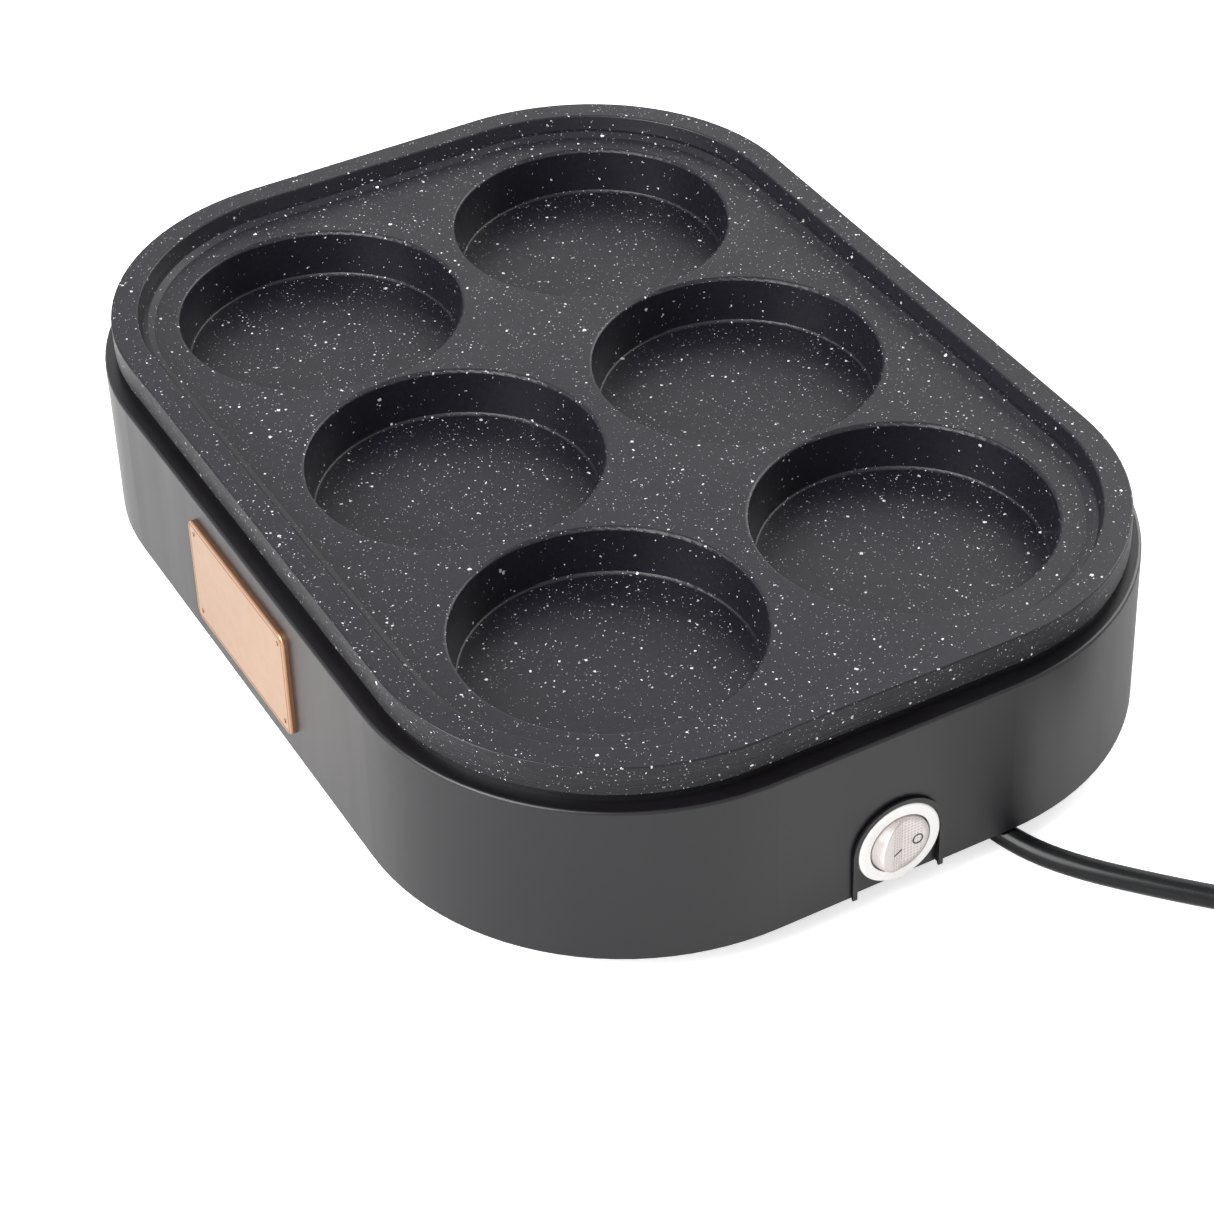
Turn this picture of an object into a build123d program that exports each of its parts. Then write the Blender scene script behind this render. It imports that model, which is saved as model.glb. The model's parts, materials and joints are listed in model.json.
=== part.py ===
# Electric egg pan: a cast plate with six wells on a low moulded housing.
# Millimetres, +Z up. X runs across the short side and Y along the long side. The switch is on the
# -Y side and the badge on the -X side. The pieces are modelled about the middle of the housing, and at
# the end all are moved so that the origin lies on the floor under the middle of the pan's bounding box.

from build123d import *
import math
import os

os.makedirs("parts", exist_ok=True)

# Clearances shared by many pieces
cut_over = 5
seat_gap = 0.2
screw_gap = 0.1
tube_fit_gap = 0.05

# Housing
foot_height = 8
wall_height = 47
housing_width = 214
housing_length = 294
housing_corner_radius = 73
wall_flare = 0.6
wall_thickness = 2.5
ledge_thickness = 2.5
ledge_edge_radius = 0.8
opening_gap = 1
opening_lip_depth = 5
opening_lip_thickness = 2
rebate_depth = 1
gusset_thickness = 1.6
gusset_height = 24
gusset_root = 0.8
side_gusset_pitch = 44
side_gusset_count = 3
end_gusset_pitch = 60
end_gusset_count = 2
ledge_z = foot_height + wall_height
base_width = housing_width + 2 * wall_flare
base_length = housing_length + 2 * wall_flare
base_corner_radius = housing_corner_radius + wall_flare

# Cooking plate
plate_inset = 4
plate_corner_step = 7
plate_gap = 3.2
deck_thickness = 3.1
rim_height = 5.1
rim_top_width = 7.4
rim_lean = 1.1
rim_edge_radius = 0.5
bead_height = 1.1
bead_width = 1.3
bead_slope = 1.8
plate_width = housing_width - 2 * plate_inset
plate_length = housing_length - 2 * plate_inset
plate_corner_radius = housing_corner_radius - plate_corner_step
deck_underside_z = ledge_z + plate_gap
deck_z = deck_underside_z + deck_thickness
rim_top_z = deck_z + rim_height

# Wells
well_columns = 2
well_rows = 3
well_side_margin = 20.1
well_end_margin = 21.1
well_gap_x = 7.4
well_gap_y = 3.1
well_taper = 1.2
well_depth = 14
well_wall = 2.5
well_draft = 0.4
well_floor_thickness = 3
mouth_fillet = 1
floor_fillet = 0.8
cup_fillet = 1.5
well_room_x = plate_width - 2 * well_side_margin - (well_columns - 1) * well_gap_x
well_room_y = plate_length - 2 * well_end_margin - (well_rows - 1) * well_gap_y
well_mouth_radius = min(well_room_x / well_columns, well_room_y / well_rows) / 2
well_floor_radius = well_mouth_radius - well_taper
well_pitch_x = 2 * well_mouth_radius + well_gap_x
well_pitch_y = (plate_length - 2 * (well_end_margin + well_mouth_radius)) / (well_rows - 1)
well_floor_z = deck_z - well_depth
cup_bottom_z = well_floor_z - well_floor_thickness
cup_bottom_radius = well_floor_radius + well_wall - well_draft
cup_top_radius = well_mouth_radius + well_wall

# Heating element
tube_radius = 3.25
tube_bend_radius = 12
element_end_inset = 27
element_drop = 13.5
saddle_width = 16
saddle_length = 56
saddle_depth = 4.5
pad_width = 12
clamp_length = 30
clamp_width = 10
clamp_thickness = 1.5
clamp_screw_offset = 11
bush_radius = 2.6
bush_length = 2
blade_width = 6.3
blade_thickness = 0.8
blade_length = 5
blade_core_radius = 0.9
element_x = well_pitch_x / 2
element_turn_y = well_pitch_y
element_end_y = element_end_inset - plate_length / 2
element_z = cup_bottom_z - tube_radius
element_low_z = element_z - tube_radius
element_end_z = element_z - element_drop
saddle_z = cup_bottom_z - saddle_depth
blade_top_z = element_end_z - bush_length
blade_low_z = blade_top_z - blade_length

# Small screws
m3_radius = 1.5
m3_head_radius = 2.8
m3_head_height = 1.8
m3_drive_radius = 1.1
m3_drive_depth = 1
clamp_screw_length = 7

# Heat shield
sheet = 0.8
shield_margin = 9
shield_drop = 22.5
shield_bend_radius = 4
shield_lip_height = 1.2
shield_lip_inset = 1.5
element_hole_gap = 1.8
shield_width = plate_width - 2 * shield_margin + 2 * sheet
shield_length = plate_length - 2 * shield_margin + 2 * sheet
shield_corner_radius = plate_corner_radius - shield_margin + sheet
shield_low_z = ledge_z - shield_drop
shield_top_z = shield_low_z + sheet
flange_width = plate_width - 2 * shield_lip_inset
flange_length = plate_length - 2 * shield_lip_inset
flange_corner_radius = plate_corner_radius - shield_lip_inset
opening_width = shield_width + 2 * opening_gap
opening_length = shield_length + 2 * opening_gap
opening_corner_radius = shield_corner_radius + opening_gap

# Assembly screws, which clamp the cover posts, washers and shield to the bosses of the plate
post_side_inset = 18
post_end_inset = 35
post_radius = 6
post_foot_radius = 6.8
post_bore_radius = 4
post_cap = 4
plate_boss_radius = 5
m4_radius = 2
m4_head_radius = 3.6
m4_head_height = 2.6
m4_drive_radius = 1.5
m4_drive_depth = 1.4
m4_hole_depth = 10
m4_grip = 9
washer_thickness = 1.5
washer_radius = 5.5
post_x = plate_width / 2 - post_side_inset
post_y = plate_length / 2 - post_end_inset
post_top_z = shield_low_z - washer_thickness
post_seat_z = post_top_z - post_cap
post_places = [
    (post_x, well_pitch_y / 2),
    (post_x, -well_pitch_y / 2),
    (-post_x, well_pitch_y / 2),
    (-post_x, -well_pitch_y / 2),
    (0, post_y),
    (0, -post_y),
]

# Bottom cover
cover_recess = 1
cover_thickness = 2.2
cover_rib_inset = 20
cover_rib_thickness = 1.6
cover_rib_height = 4
vent_length = 34
vent_width = 2.4
vent_pitch = 8.5
vent_count = 5
vent_x = 42
vent_y = 25
cover_z = foot_height + cover_recess
cover_top_z = cover_z + cover_thickness
cover_inset = wall_thickness - rebate_depth + seat_gap
cover_width = base_width - 2 * cover_inset
cover_length = base_length - 2 * cover_inset
cover_corner_radius = base_corner_radius - cover_inset

# Rubber feet
foot_inset = 39.6
foot_radius = 9
foot_tread_radius = 7.6
foot_tread_height = 2.5
foot_bore_radius = 3.4
foot_web = 2.5
foot_boss_radius = 4
foot_boss_height = 3.5
foot_screw_length = 7
foot_x = base_width / 2 - foot_inset
foot_y = base_length / 2 - foot_inset
foot_seat_z = cover_z - foot_web
foot_places = [(foot_x, foot_y), (foot_x, -foot_y), (-foot_x, foot_y), (-foot_x, -foot_y)]

# Switch panel in the arch of the short wall
switch_drop = 40.5
arch_radius = 12.6
panel_gap = 0.15
panel_recess = 0.8
panel_thickness = 3.6
panel_flange_reach = 2
panel_flange_thickness = 1.5
panel_lip_width = 1.3
panel_lip_overlap = 0.6
panel_lip_proud = 0.8
panel_lip_gap = 0.1
panel_tooth = 0.7
panel_ear_x = 12.4
panel_ear_width = 3
panel_ear_depth = 5
panel_ear_height = 1.8
switch_z = deck_z - switch_drop
wall_front_y = -base_length / 2
panel_front_y = wall_front_y + panel_recess
panel_back_y = panel_front_y + panel_thickness
notch_half = arch_radius + panel_flange_reach + 2 * seat_gap

# Switch
bezel_radius = 11.75
bezel_thickness = 1.9
bezel_edge_radius = 0.7
barrel_radius = 9.95
barrel_depth = 15.5
barrel_hole_gap = 0.1
barrel_relief_gap = 0.5
rocker_well_depth = 12
catch_width = 5
catch_proud = 0.9
catch_length = 3
rocker_radius = 8.4
rocker_gap = 0.3
rocker_face_height = 2.1
rocker_back_depth = 5
rocker_skin = 1.2
rocker_pocket_radius = 6.2
rocker_tilt = 11
pivot_depth = 1.8
pivot_radius = 1.2
pivot_reach = 0.85
lamp_radius = 1.6
lamp_length = 6.5
lamp_offset = 3.6
lamp_wire_radius = 0.4
lamp_wire_pitch = 1.8
terminal_width = 4.8
terminal_thickness = 0.8
terminal_length = 7.5
terminal_root = 2
terminal_pitch = 6
terminal_count = 3
bezel_front_y = panel_front_y - bezel_thickness
barrel_back_y = panel_front_y + barrel_depth
pivot_y = bezel_front_y + pivot_depth
rocker_well_radius = rocker_radius + rocker_gap
rocker_well_y = bezel_front_y + rocker_well_depth
terminal_end_y = barrel_back_y + terminal_length

# Badge on the long wall
badge_length = 60
badge_height = 33
badge_thickness = 1.5
badge_corner_radius = 3
badge_edge_radius = 0.6
badge_drop = 23.8
badge_pin_inset = 3.6
badge_pin_radius = 0.4
badge_pin_head_radius = 0.6
badge_pin_head_height = 0.25
badge_pin_length = 5
wall_slope = wall_flare / wall_height
badge_x = -(housing_width / 2 + wall_slope * badge_drop)
badge_z = ledge_z - badge_drop
badge_plane = Plane(origin=(badge_x, 0, badge_z), x_dir=(0, -1, 0), z_dir=(-1, 0, wall_slope))
badge_pin_pitch_x = badge_length - 2 * badge_pin_inset
badge_pin_pitch_y = badge_height - 2 * badge_pin_inset

# Thermostat, clamped up to the boss between four wells
sensor_y = -well_pitch_y / 2
sensor_boss_length = 32
sensor_boss_width = 9
sensor_boss_depth = 10
thermostat_cap_radius = 8
thermostat_cap_height = 3.2
thermostat_body_radius = 6.5
thermostat_body_height = 7
bracket_thickness = 0.6
bracket_length = 30
bracket_width = 8
bracket_ring_radius = 8.5
bracket_screw_offset = 11.9
bracket_screw_length = 8
sensor_blade_offset = 4
sensor_blade_width = 4.8
sensor_blade_length = 9
sensor_blade_root = 2
sensor_hole_radius = 10.5
boss_low_z = deck_underside_z - sensor_boss_depth
boss_hole_depth = sensor_boss_depth - deck_thickness
bracket_z = boss_low_z - thermostat_cap_height - bracket_thickness
thermostat_low_z = boss_low_z - thermostat_cap_height - thermostat_body_height
sensor_blade_low_z = thermostat_low_z - sensor_blade_length
sensor_blade_places = [(-sensor_blade_offset, sensor_y), (sensor_blade_offset, sensor_y)]
bracket_screw_places = [(-bracket_screw_offset, sensor_y), (bracket_screw_offset, sensor_y)]

# Thermal fuse in its sleeve, clipped under the boss between the other four wells
fuse_x = -4
fuse_y = well_pitch_y / 2
fuse_radius = 2
fuse_length = 11
fuse_wire_radius = 0.5
sleeve_radius = 2.7
sleeve_length = 22
fuse_clip_width = 8
fuse_clip_thickness = 0.8
fuse_clip_reach = 13
fuse_screw_offset = 9.5
fuse_screw_length = 6
fuse_hole_radius = 4
fuse_hole_offset = 18
fuse_z = boss_low_z - sleeve_radius
fuse_screw_places = [(fuse_x + fuse_screw_offset, fuse_y)]

# Earth point under the shield
earth_side_offset = 22.7
earth_end_offset = 1.7
earth_boss_radius = 4
earth_hole_depth = 8
earth_screw_length = 8
earth_tag_radius = 3.6
earth_tag_thickness = 0.8
earth_tail_length = 9
earth_tail_width = 3.2
earth_x = -(element_x + earth_side_offset)
earth_y = -(well_pitch_y + earth_end_offset)
earth_tag_z = shield_low_z - earth_tag_thickness

# Cord entry: bay in the cover, gland, tail and clamp
cord_diameter = 6.2
gland_z = 17.8
bay_inset = 4.6
bay_length = 66
bay_wall = 1.6
bay_gap = 0.4
gland_side_gap = 1.5
gland_top_gap = 0.8
gland_flange_radius = 5.5
gland_flange_thickness = 1.6
gland_neck_radius = 4.8
gland_base_radius = 5.2
gland_tip_radius = 4.3
gland_nose_length = 20.4
gland_groove_count = 6
gland_groove_width = 1.2
gland_groove_depth = 0.6
tail_reach = 16
cord_clamp_inset = 8
cord_clamp_width = 7
cord_clamp_wall = 1.6
cord_clamp_ear = 8
cord_clamp_split = 0.4
cord_clamp_screw_inset = 3.2
cord_clamp_screw_length = 7.6
cord_radius = cord_diameter / 2
bay_low_x = notch_half + bay_gap + bay_wall
bay_high_x = element_x - bush_radius - bay_gap - bay_wall
bay_front_y = wall_front_y + bay_inset
bay_back_y = bay_front_y + bay_length
bay_roof_z = gland_z + gland_flange_radius + gland_top_gap
cord_x = bay_low_x + gland_side_gap + gland_flange_radius
bay_end_y = bay_back_y + bay_wall
gland_tip_y = bay_back_y - gland_flange_thickness - gland_nose_length
tail_end_y = bay_end_y + gland_flange_thickness + tail_reach
cord_clamp_y = bay_end_y + gland_flange_thickness + cord_clamp_inset
cord_clamp_half = cord_radius + cord_clamp_ear
cord_clamp_screw_offset = cord_clamp_half - cord_clamp_screw_inset

# Terminal block
block_x = -34
block_setback = 32
block_ways = 3
block_pitch = 8
block_depth = 16
block_height = 10
block_side = 4.3
block_bore_radius = 1.7
block_bore_height = 5
block_screw_radius = 1.4
block_screw_offset = 4.4
block_screw_recess = 0.6
block_mount_radius = 1.1
block_mount_head_radius = 1.9
block_mount_head_height = 1.2
block_mount_offset = 4
lead_reach = 2
block_y = element_end_y + block_setback
block_width = (block_ways - 1) * block_pitch + 2 * block_side
block_bore_z = cover_top_z + block_bore_height
block_top_z = cover_top_z + block_height
block_mount_seat_z = block_top_z - block_mount_head_height
block_mount_places = [(-block_mount_offset, 0), (block_mount_offset, 0)]

# Inner leads
lead_radius = 1.1
lead_bend_share = 0.45
lead_split = 1.8
lead_bow = 5.2
lead_swing = 12.7
lead_post_gap = 13
core_side = 1.15
core_low = 0.7
core_high = 1.3
core_reach = 11.4
core_track = 3

# Power cord from the tip of the gland over the floor to the coil
cord_bend_share = 0.45
cord_points = [
    (24, -99, 17.8),
    (24, -112, 17.8),
    (26, -127.5, 12.7),
    (33, -142.5, 4.2),
    (40.3, -159, 3.15),
    (57, -179.5, 3.15),
    (79.4, -203, 3.15),
    (100.2, -223.2, 3.15),
]

# Coil of spare cord
coil_radius = 39.5
coil_step = 7.2
coil_layer = 6.7
coil_low_turns = 1.5
coil_climb_turns = 0.5
coil_high_turns = 1.33
coil_arc_turns = 0.25
coil_climb_slope_share = 1.5
coil_samples = 480

# Plug
end_run = 21
end_rise_run = 24
plug_flat = 16.9
plug_front_radius = 18.4
plug_front_length = 17
plug_grip_radius = 12.5
plug_grip_length = 12
plug_neck_radius = 5.6
plug_neck_length = 14
plug_tip_radius = 4
plug_edge_radius = 1.2
plug_rail_width = 5.4
plug_rail_depth = 3
plug_rail_length = 13
plug_pin_pitch = 19
plug_pin_radius = 2.4
plug_pin_length = 19
plug_pin_root = 6
plug_pin_tip_radius = 1
plug_earth_radius = 2.5
plug_earth_depth = 12
plug_earth_offset = 11.5
contact_width = 7
contact_thickness = 1
contact_length = 13
contact_inset = 1.2


def outline(width, length, radius, inset):
    """Rounded rectangle drawn in from the given size on every side."""
    return RectangleRounded(width - 2 * inset, length - 2 * inset, radius - inset)


def looking_back(y):
    """Plane across the switch at the given y, facing +Y with local y up."""
    return Plane(origin=(0, y, switch_z), x_dir=(-1, 0, 0), z_dir=(0, 1, 0))


def arch(radius, low_z):
    """Half round about the switch over two straight legs that end at low_z."""
    Circle(radius)
    with Locations((0, (low_z - switch_z) / 2)):
        Rectangle(2 * radius, switch_z - low_z)


def gusset(wall, lip):
    """Gusset under the ledge, from a wall to the lip of the opening."""
    Polygon(
        (wall, inner_top_z),
        (wall, inner_top_z - gusset_height),
        (lip, inner_top_z - opening_lip_depth),
        (lip, inner_top_z),
        align=None,
    )


def along_cord(y):
    """Plane across the inner end of the cord at the given y, facing -Y with local y up."""
    return Plane(origin=(cord_x, y, gland_z), x_dir=(1, 0, 0), z_dir=(0, -1, 0))


def corner_radii(points, share):
    """Radius at each corner: a share of its shorter run, over the tangent of half the turn."""
    radii = []
    for before, here, after in zip(points, points[1:], points[2:]):
        run_in = Vector(*here) - Vector(*before)
        run_out = Vector(*after) - Vector(*here)
        half_turn = math.radians(run_in.get_angle(run_out)) / 2
        radii.append(share * min(run_in.length, run_out.length) / math.tan(half_turn))
    return radii


def tube_ratio(tube, axis, radius):
    """Volume of a tube over its section times its length, which is one for a sound tube."""
    return round(tube.volume / (math.pi * radius**2 * axis.length), 5)


def round_tube(points, radius, share):
    """Round tube along straight runs joined by tangent arcs."""
    with BuildPart() as piece:
        with BuildLine() as route:
            FilletPolyline(*points, radius=corner_radii(points, share))
        with BuildSketch(Plane(origin=route.line @ 0, z_dir=route.line % 0)):
            Circle(radius)
        sweep()
    print("tube volume over section times length:", tube_ratio(piece.part, route.wire(), radius))
    return piece.part


def screws(seat, places, length, radius, head_radius, head_height, drive_radius, drive_depth):
    """Group of screws whose heads lie before the seat plane and whose shanks run past it."""
    with BuildPart() as group:
        with BuildSketch(seat.offset(-head_height)):
            with Locations(*places):
                Circle(head_radius)
        extrude(amount=head_height)
        with BuildSketch(seat):
            with Locations(*places):
                Circle(radius)
        extrude(amount=length)
        with BuildSketch(seat.offset(-head_height)):
            with Locations(*places):
                RegularPolygon(drive_radius, 6)
        extrude(amount=drive_depth, mode=Mode.SUBTRACT)
    return group.part


def small_screws(seat, places, length):
    """Group of M3 pan head screws."""
    return screws(
        seat, places, length, m3_radius, m3_head_radius, m3_head_height, m3_drive_radius, m3_drive_depth
    )


def inside(x, reach, z):
    """Point of a lead at a distance inside the short wall with the switch."""
    return (x, wall_front_y + reach, z)


pieces = {}


def keep(piece, name):
    """Hold a finished piece under its name until all are moved and written."""
    pieces[name] = piece


# Axis of the heating element: a long U under the wells, whose two ends drop through the shield
with BuildLine() as element_route:
    rise = Line(
        (element_x, element_end_y, element_end_z),
        (element_x, element_end_y, element_z - tube_bend_radius),
    )
    bend_in = TangentArc(
        rise @ 1, (element_x, element_end_y + tube_bend_radius, element_z), tangent=rise % 1
    )
    leg_out = Line(bend_in @ 1, (element_x, element_turn_y, element_z))
    turn = TangentArc(leg_out @ 1, (-element_x, element_turn_y, element_z), tangent=leg_out % 1)
    leg_back = Line(turn @ 1, (-element_x, element_end_y + tube_bend_radius, element_z))
    bend_out = TangentArc(
        leg_back @ 1, (-element_x, element_end_y, element_z - tube_bend_radius), tangent=leg_back % 1
    )
    Line(bend_out @ 1, (-element_x, element_end_y, element_end_z))

element_section = Plane(origin=element_route.line @ 0, z_dir=element_route.line % 0)
saddle_turn = math.degrees(saddle_length / 2 / element_x)

# Cooking plate: rim, bead and deck, then the cups, saddles and bosses cast on its underside
bead_z = deck_z + bead_height
bead_inset = rim_top_width + rim_lean
step_inset = bead_inset + bead_width
deck_inset = step_inset + bead_slope

with BuildPart() as cooking_plate:
    with BuildSketch(Plane.XY.offset(deck_underside_z)):
        outline(plate_width, plate_length, plate_corner_radius, 0)
    extrude(amount=rim_top_z - deck_underside_z)
    with BuildSketch(Plane.XY.offset(bead_z)):
        outline(plate_width, plate_length, plate_corner_radius, bead_inset)
    with BuildSketch(Plane.XY.offset(rim_top_z)):
        outline(plate_width, plate_length, plate_corner_radius, rim_top_width)
    loft(ruled=True, mode=Mode.SUBTRACT)
    fillet(cooking_plate.edges().group_by(Axis.Z)[-1], radius=rim_edge_radius)
    with BuildSketch(Plane.XY.offset(deck_z)):
        outline(plate_width, plate_length, plate_corner_radius, deck_inset)
    with BuildSketch(Plane.XY.offset(bead_z)):
        outline(plate_width, plate_length, plate_corner_radius, step_inset)
    loft(ruled=True, mode=Mode.SUBTRACT)
    with Locations(Plane.XY.offset(cup_bottom_z)):
        with GridLocations(well_pitch_x, well_pitch_y, well_columns, well_rows):
            Cone(
                cup_bottom_radius,
                cup_top_radius,
                deck_underside_z - cup_bottom_z,
                align=(Align.CENTER, Align.CENTER, Align.MIN),
            )
    fillet(cooking_plate.edges().group_by(Axis.Z)[0], radius=cup_fillet)
    with BuildSketch(Plane.XY.offset(saddle_z)):
        with GridLocations(well_pitch_x, 2 * well_pitch_y, well_columns, 2):
            Rectangle(clamp_length, pad_width)
        with Locations((0, -element_turn_y / 2)):
            with GridLocations(well_pitch_x, well_pitch_y, well_columns, well_rows - 1):
                Rectangle(saddle_width, saddle_length)
        with Locations((-element_x, element_turn_y), (element_x, element_turn_y)):
            Rectangle(saddle_width, saddle_length / 2, align=(Align.CENTER, Align.MAX))
        with BuildLine():
            CenterArc((0, element_turn_y), element_x, 0, saddle_turn)
            CenterArc((0, element_turn_y), element_x, 180 - saddle_turn, saddle_turn)
        trace(line_width=saddle_width)
    extrude(amount=saddle_depth + cup_fillet)
    with BuildSketch(Plane.XY.offset(shield_top_z)):
        with Locations(*post_places):
            Circle(plate_boss_radius)
    extrude(amount=deck_underside_z - shield_top_z)
    with BuildSketch(Plane.XY.offset(shield_top_z)):
        with Locations((earth_x, earth_y)):
            Circle(earth_boss_radius)
    extrude(amount=cup_bottom_z + cup_fillet - shield_top_z)
    with BuildSketch(Plane.XY.offset(boss_low_z)):
        with Locations((0, sensor_y), (0, fuse_y)):
            SlotOverall(sensor_boss_length, sensor_boss_width)
    extrude(amount=sensor_boss_depth)
    with Locations(Plane.XY.offset(well_floor_z)):
        with GridLocations(well_pitch_x, well_pitch_y, well_columns, well_rows):
            Cone(
                well_floor_radius,
                well_mouth_radius,
                well_depth,
                align=(Align.CENTER, Align.CENTER, Align.MIN),
                mode=Mode.SUBTRACT,
            )
    mouths = cooking_plate.edges().filter_by(
        lambda edge: edge.geom_type == GeomType.CIRCLE
        and abs(edge.center().Z - deck_z) < seat_gap
        and abs(edge.radius - well_mouth_radius) < seat_gap
    )
    fillet(mouths, radius=mouth_fillet)
    floors = cooking_plate.edges().filter_by(
        lambda edge: edge.geom_type == GeomType.CIRCLE
        and abs(edge.center().Z - well_floor_z) < seat_gap
        and abs(edge.radius - well_floor_radius) < seat_gap
    )
    fillet(floors, radius=floor_fillet)
    with BuildSketch(element_section):
        Circle(tube_radius + tube_fit_gap)
    sweep(path=element_route.wire(), mode=Mode.SUBTRACT)
    with BuildSketch(Plane.XY.offset(shield_top_z)):
        with Locations(*post_places):
            Circle(m4_radius + screw_gap)
    extrude(amount=m4_hole_depth, mode=Mode.SUBTRACT)
    with BuildSketch(Plane.XY.offset(shield_top_z)):
        with Locations((earth_x, earth_y)):
            Circle(m3_radius + screw_gap)
    extrude(amount=earth_hole_depth, mode=Mode.SUBTRACT)
    with BuildSketch(Plane.XY.offset(boss_low_z)):
        with Locations(*bracket_screw_places, *fuse_screw_places):
            Circle(m3_radius + screw_gap)
    extrude(amount=boss_hole_depth, mode=Mode.SUBTRACT)
    with BuildSketch(Plane.XY.offset(saddle_z)):
        with GridLocations(well_pitch_x, 2 * well_pitch_y, well_columns, 2):
            with GridLocations(2 * clamp_screw_offset, 0, 2, 1):
                Circle(m3_radius + screw_gap)
    extrude(amount=saddle_depth, mode=Mode.SUBTRACT)
keep(cooking_plate.part, "cooking_plate")

# Heating element: one bent tube in the grooves of the saddles
with BuildPart() as heating_element:
    with BuildSketch(element_section):
        Circle(tube_radius)
    sweep(path=element_route.wire())
keep(heating_element.part, "heating_element")

element_ends = [(element_x, element_end_y), (-element_x, element_end_y)]

with BuildPart() as element_bushes:
    with BuildSketch(Plane.XY.offset(blade_top_z)):
        with Locations(*element_ends):
            Circle(bush_radius)
            Circle(blade_core_radius, mode=Mode.SUBTRACT)
    extrude(amount=bush_length)
keep(element_bushes.part, "element_bushes")

with BuildPart() as element_blades:
    with BuildSketch(Plane.XY.offset(blade_low_z)):
        with Locations(*element_ends):
            Rectangle(blade_thickness, blade_width)
    extrude(amount=blade_length)
    with BuildSketch(Plane.XY.offset(blade_top_z)):
        with Locations(*element_ends):
            Circle(blade_core_radius)
    extrude(amount=bush_length)
keep(element_blades.part, "element_blades")

# Clamp bars that hold the tube up against the four corner wells
clamp_low_z = element_low_z - clamp_thickness
clamp_screw_places = [
    (column * element_x + side * clamp_screw_offset, row * well_pitch_y)
    for column in (-1, 1)
    for row in (-1, 1)
    for side in (-1, 1)
]

with BuildPart() as element_clamps:
    with BuildSketch(Plane.XY.offset(clamp_low_z)):
        with GridLocations(well_pitch_x, 2 * well_pitch_y, well_columns, 2):
            SlotOverall(clamp_length, clamp_width)
        with Locations(*clamp_screw_places):
            Circle(m3_radius + screw_gap, mode=Mode.SUBTRACT)
    extrude(amount=clamp_thickness)
keep(element_clamps.part, "element_clamps")

keep(small_screws(Plane.XY.offset(clamp_low_z), clamp_screw_places, clamp_screw_length), "clamp_screws")

# Thermostat under the boss between the wells nearest the switch
with BuildPart() as thermostat:
    with BuildSketch(Plane.XY.offset(boss_low_z - thermostat_cap_height)):
        with Locations((0, sensor_y)):
            Circle(thermostat_cap_radius)
    extrude(amount=thermostat_cap_height)
    with BuildSketch(Plane.XY.offset(thermostat_low_z)):
        with Locations((0, sensor_y)):
            Circle(thermostat_body_radius)
    extrude(amount=thermostat_body_height)
    with BuildSketch(Plane.XY.offset(thermostat_low_z)):
        with Locations(*sensor_blade_places):
            Rectangle(blade_thickness, sensor_blade_width)
    extrude(amount=sensor_blade_root, mode=Mode.SUBTRACT)
keep(thermostat.part, "thermostat")

with BuildPart() as thermostat_blades:
    with BuildSketch(Plane.XY.offset(sensor_blade_low_z)):
        with Locations(*sensor_blade_places):
            Rectangle(blade_thickness, sensor_blade_width)
    extrude(amount=sensor_blade_length + sensor_blade_root)
keep(thermostat_blades.part, "thermostat_blades")

with BuildPart() as thermostat_bracket:
    with BuildSketch(Plane.XY.offset(bracket_z)):
        with Locations((0, sensor_y)):
            SlotOverall(bracket_length, bracket_width)
            Circle(bracket_ring_radius)
            Circle(thermostat_body_radius + seat_gap, mode=Mode.SUBTRACT)
        with Locations(*bracket_screw_places):
            Circle(m3_radius + screw_gap, mode=Mode.SUBTRACT)
    extrude(amount=bracket_thickness)
keep(thermostat_bracket.part, "thermostat_bracket")

thermostat_screws = small_screws(Plane.XY.offset(bracket_z), bracket_screw_places, bracket_screw_length)
keep(thermostat_screws, "thermostat_screws")

# Thermal fuse, its sleeve, and the clip that holds them under the other boss
fuse_plane = Plane(origin=(fuse_x, fuse_y, fuse_z), x_dir=(1, 0, 0), z_dir=(0, -1, 0))
fuse_clip_z = boss_low_z - fuse_clip_thickness
fuse_clip_radius = sleeve_radius + fuse_clip_thickness

with BuildPart() as thermal_fuse:
    with BuildSketch(fuse_plane):
        Circle(fuse_radius)
    extrude(amount=fuse_length / 2, both=True)
    with BuildSketch(fuse_plane):
        Circle(fuse_wire_radius)
    extrude(amount=sleeve_length / 2, both=True)
keep(thermal_fuse.part, "thermal_fuse")

with BuildPart() as fuse_sleeve:
    with BuildSketch(fuse_plane):
        Circle(sleeve_radius)
        Circle(fuse_radius + tube_fit_gap, mode=Mode.SUBTRACT)
    extrude(amount=sleeve_length / 2, both=True)
keep(fuse_sleeve.part, "fuse_sleeve")

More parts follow.
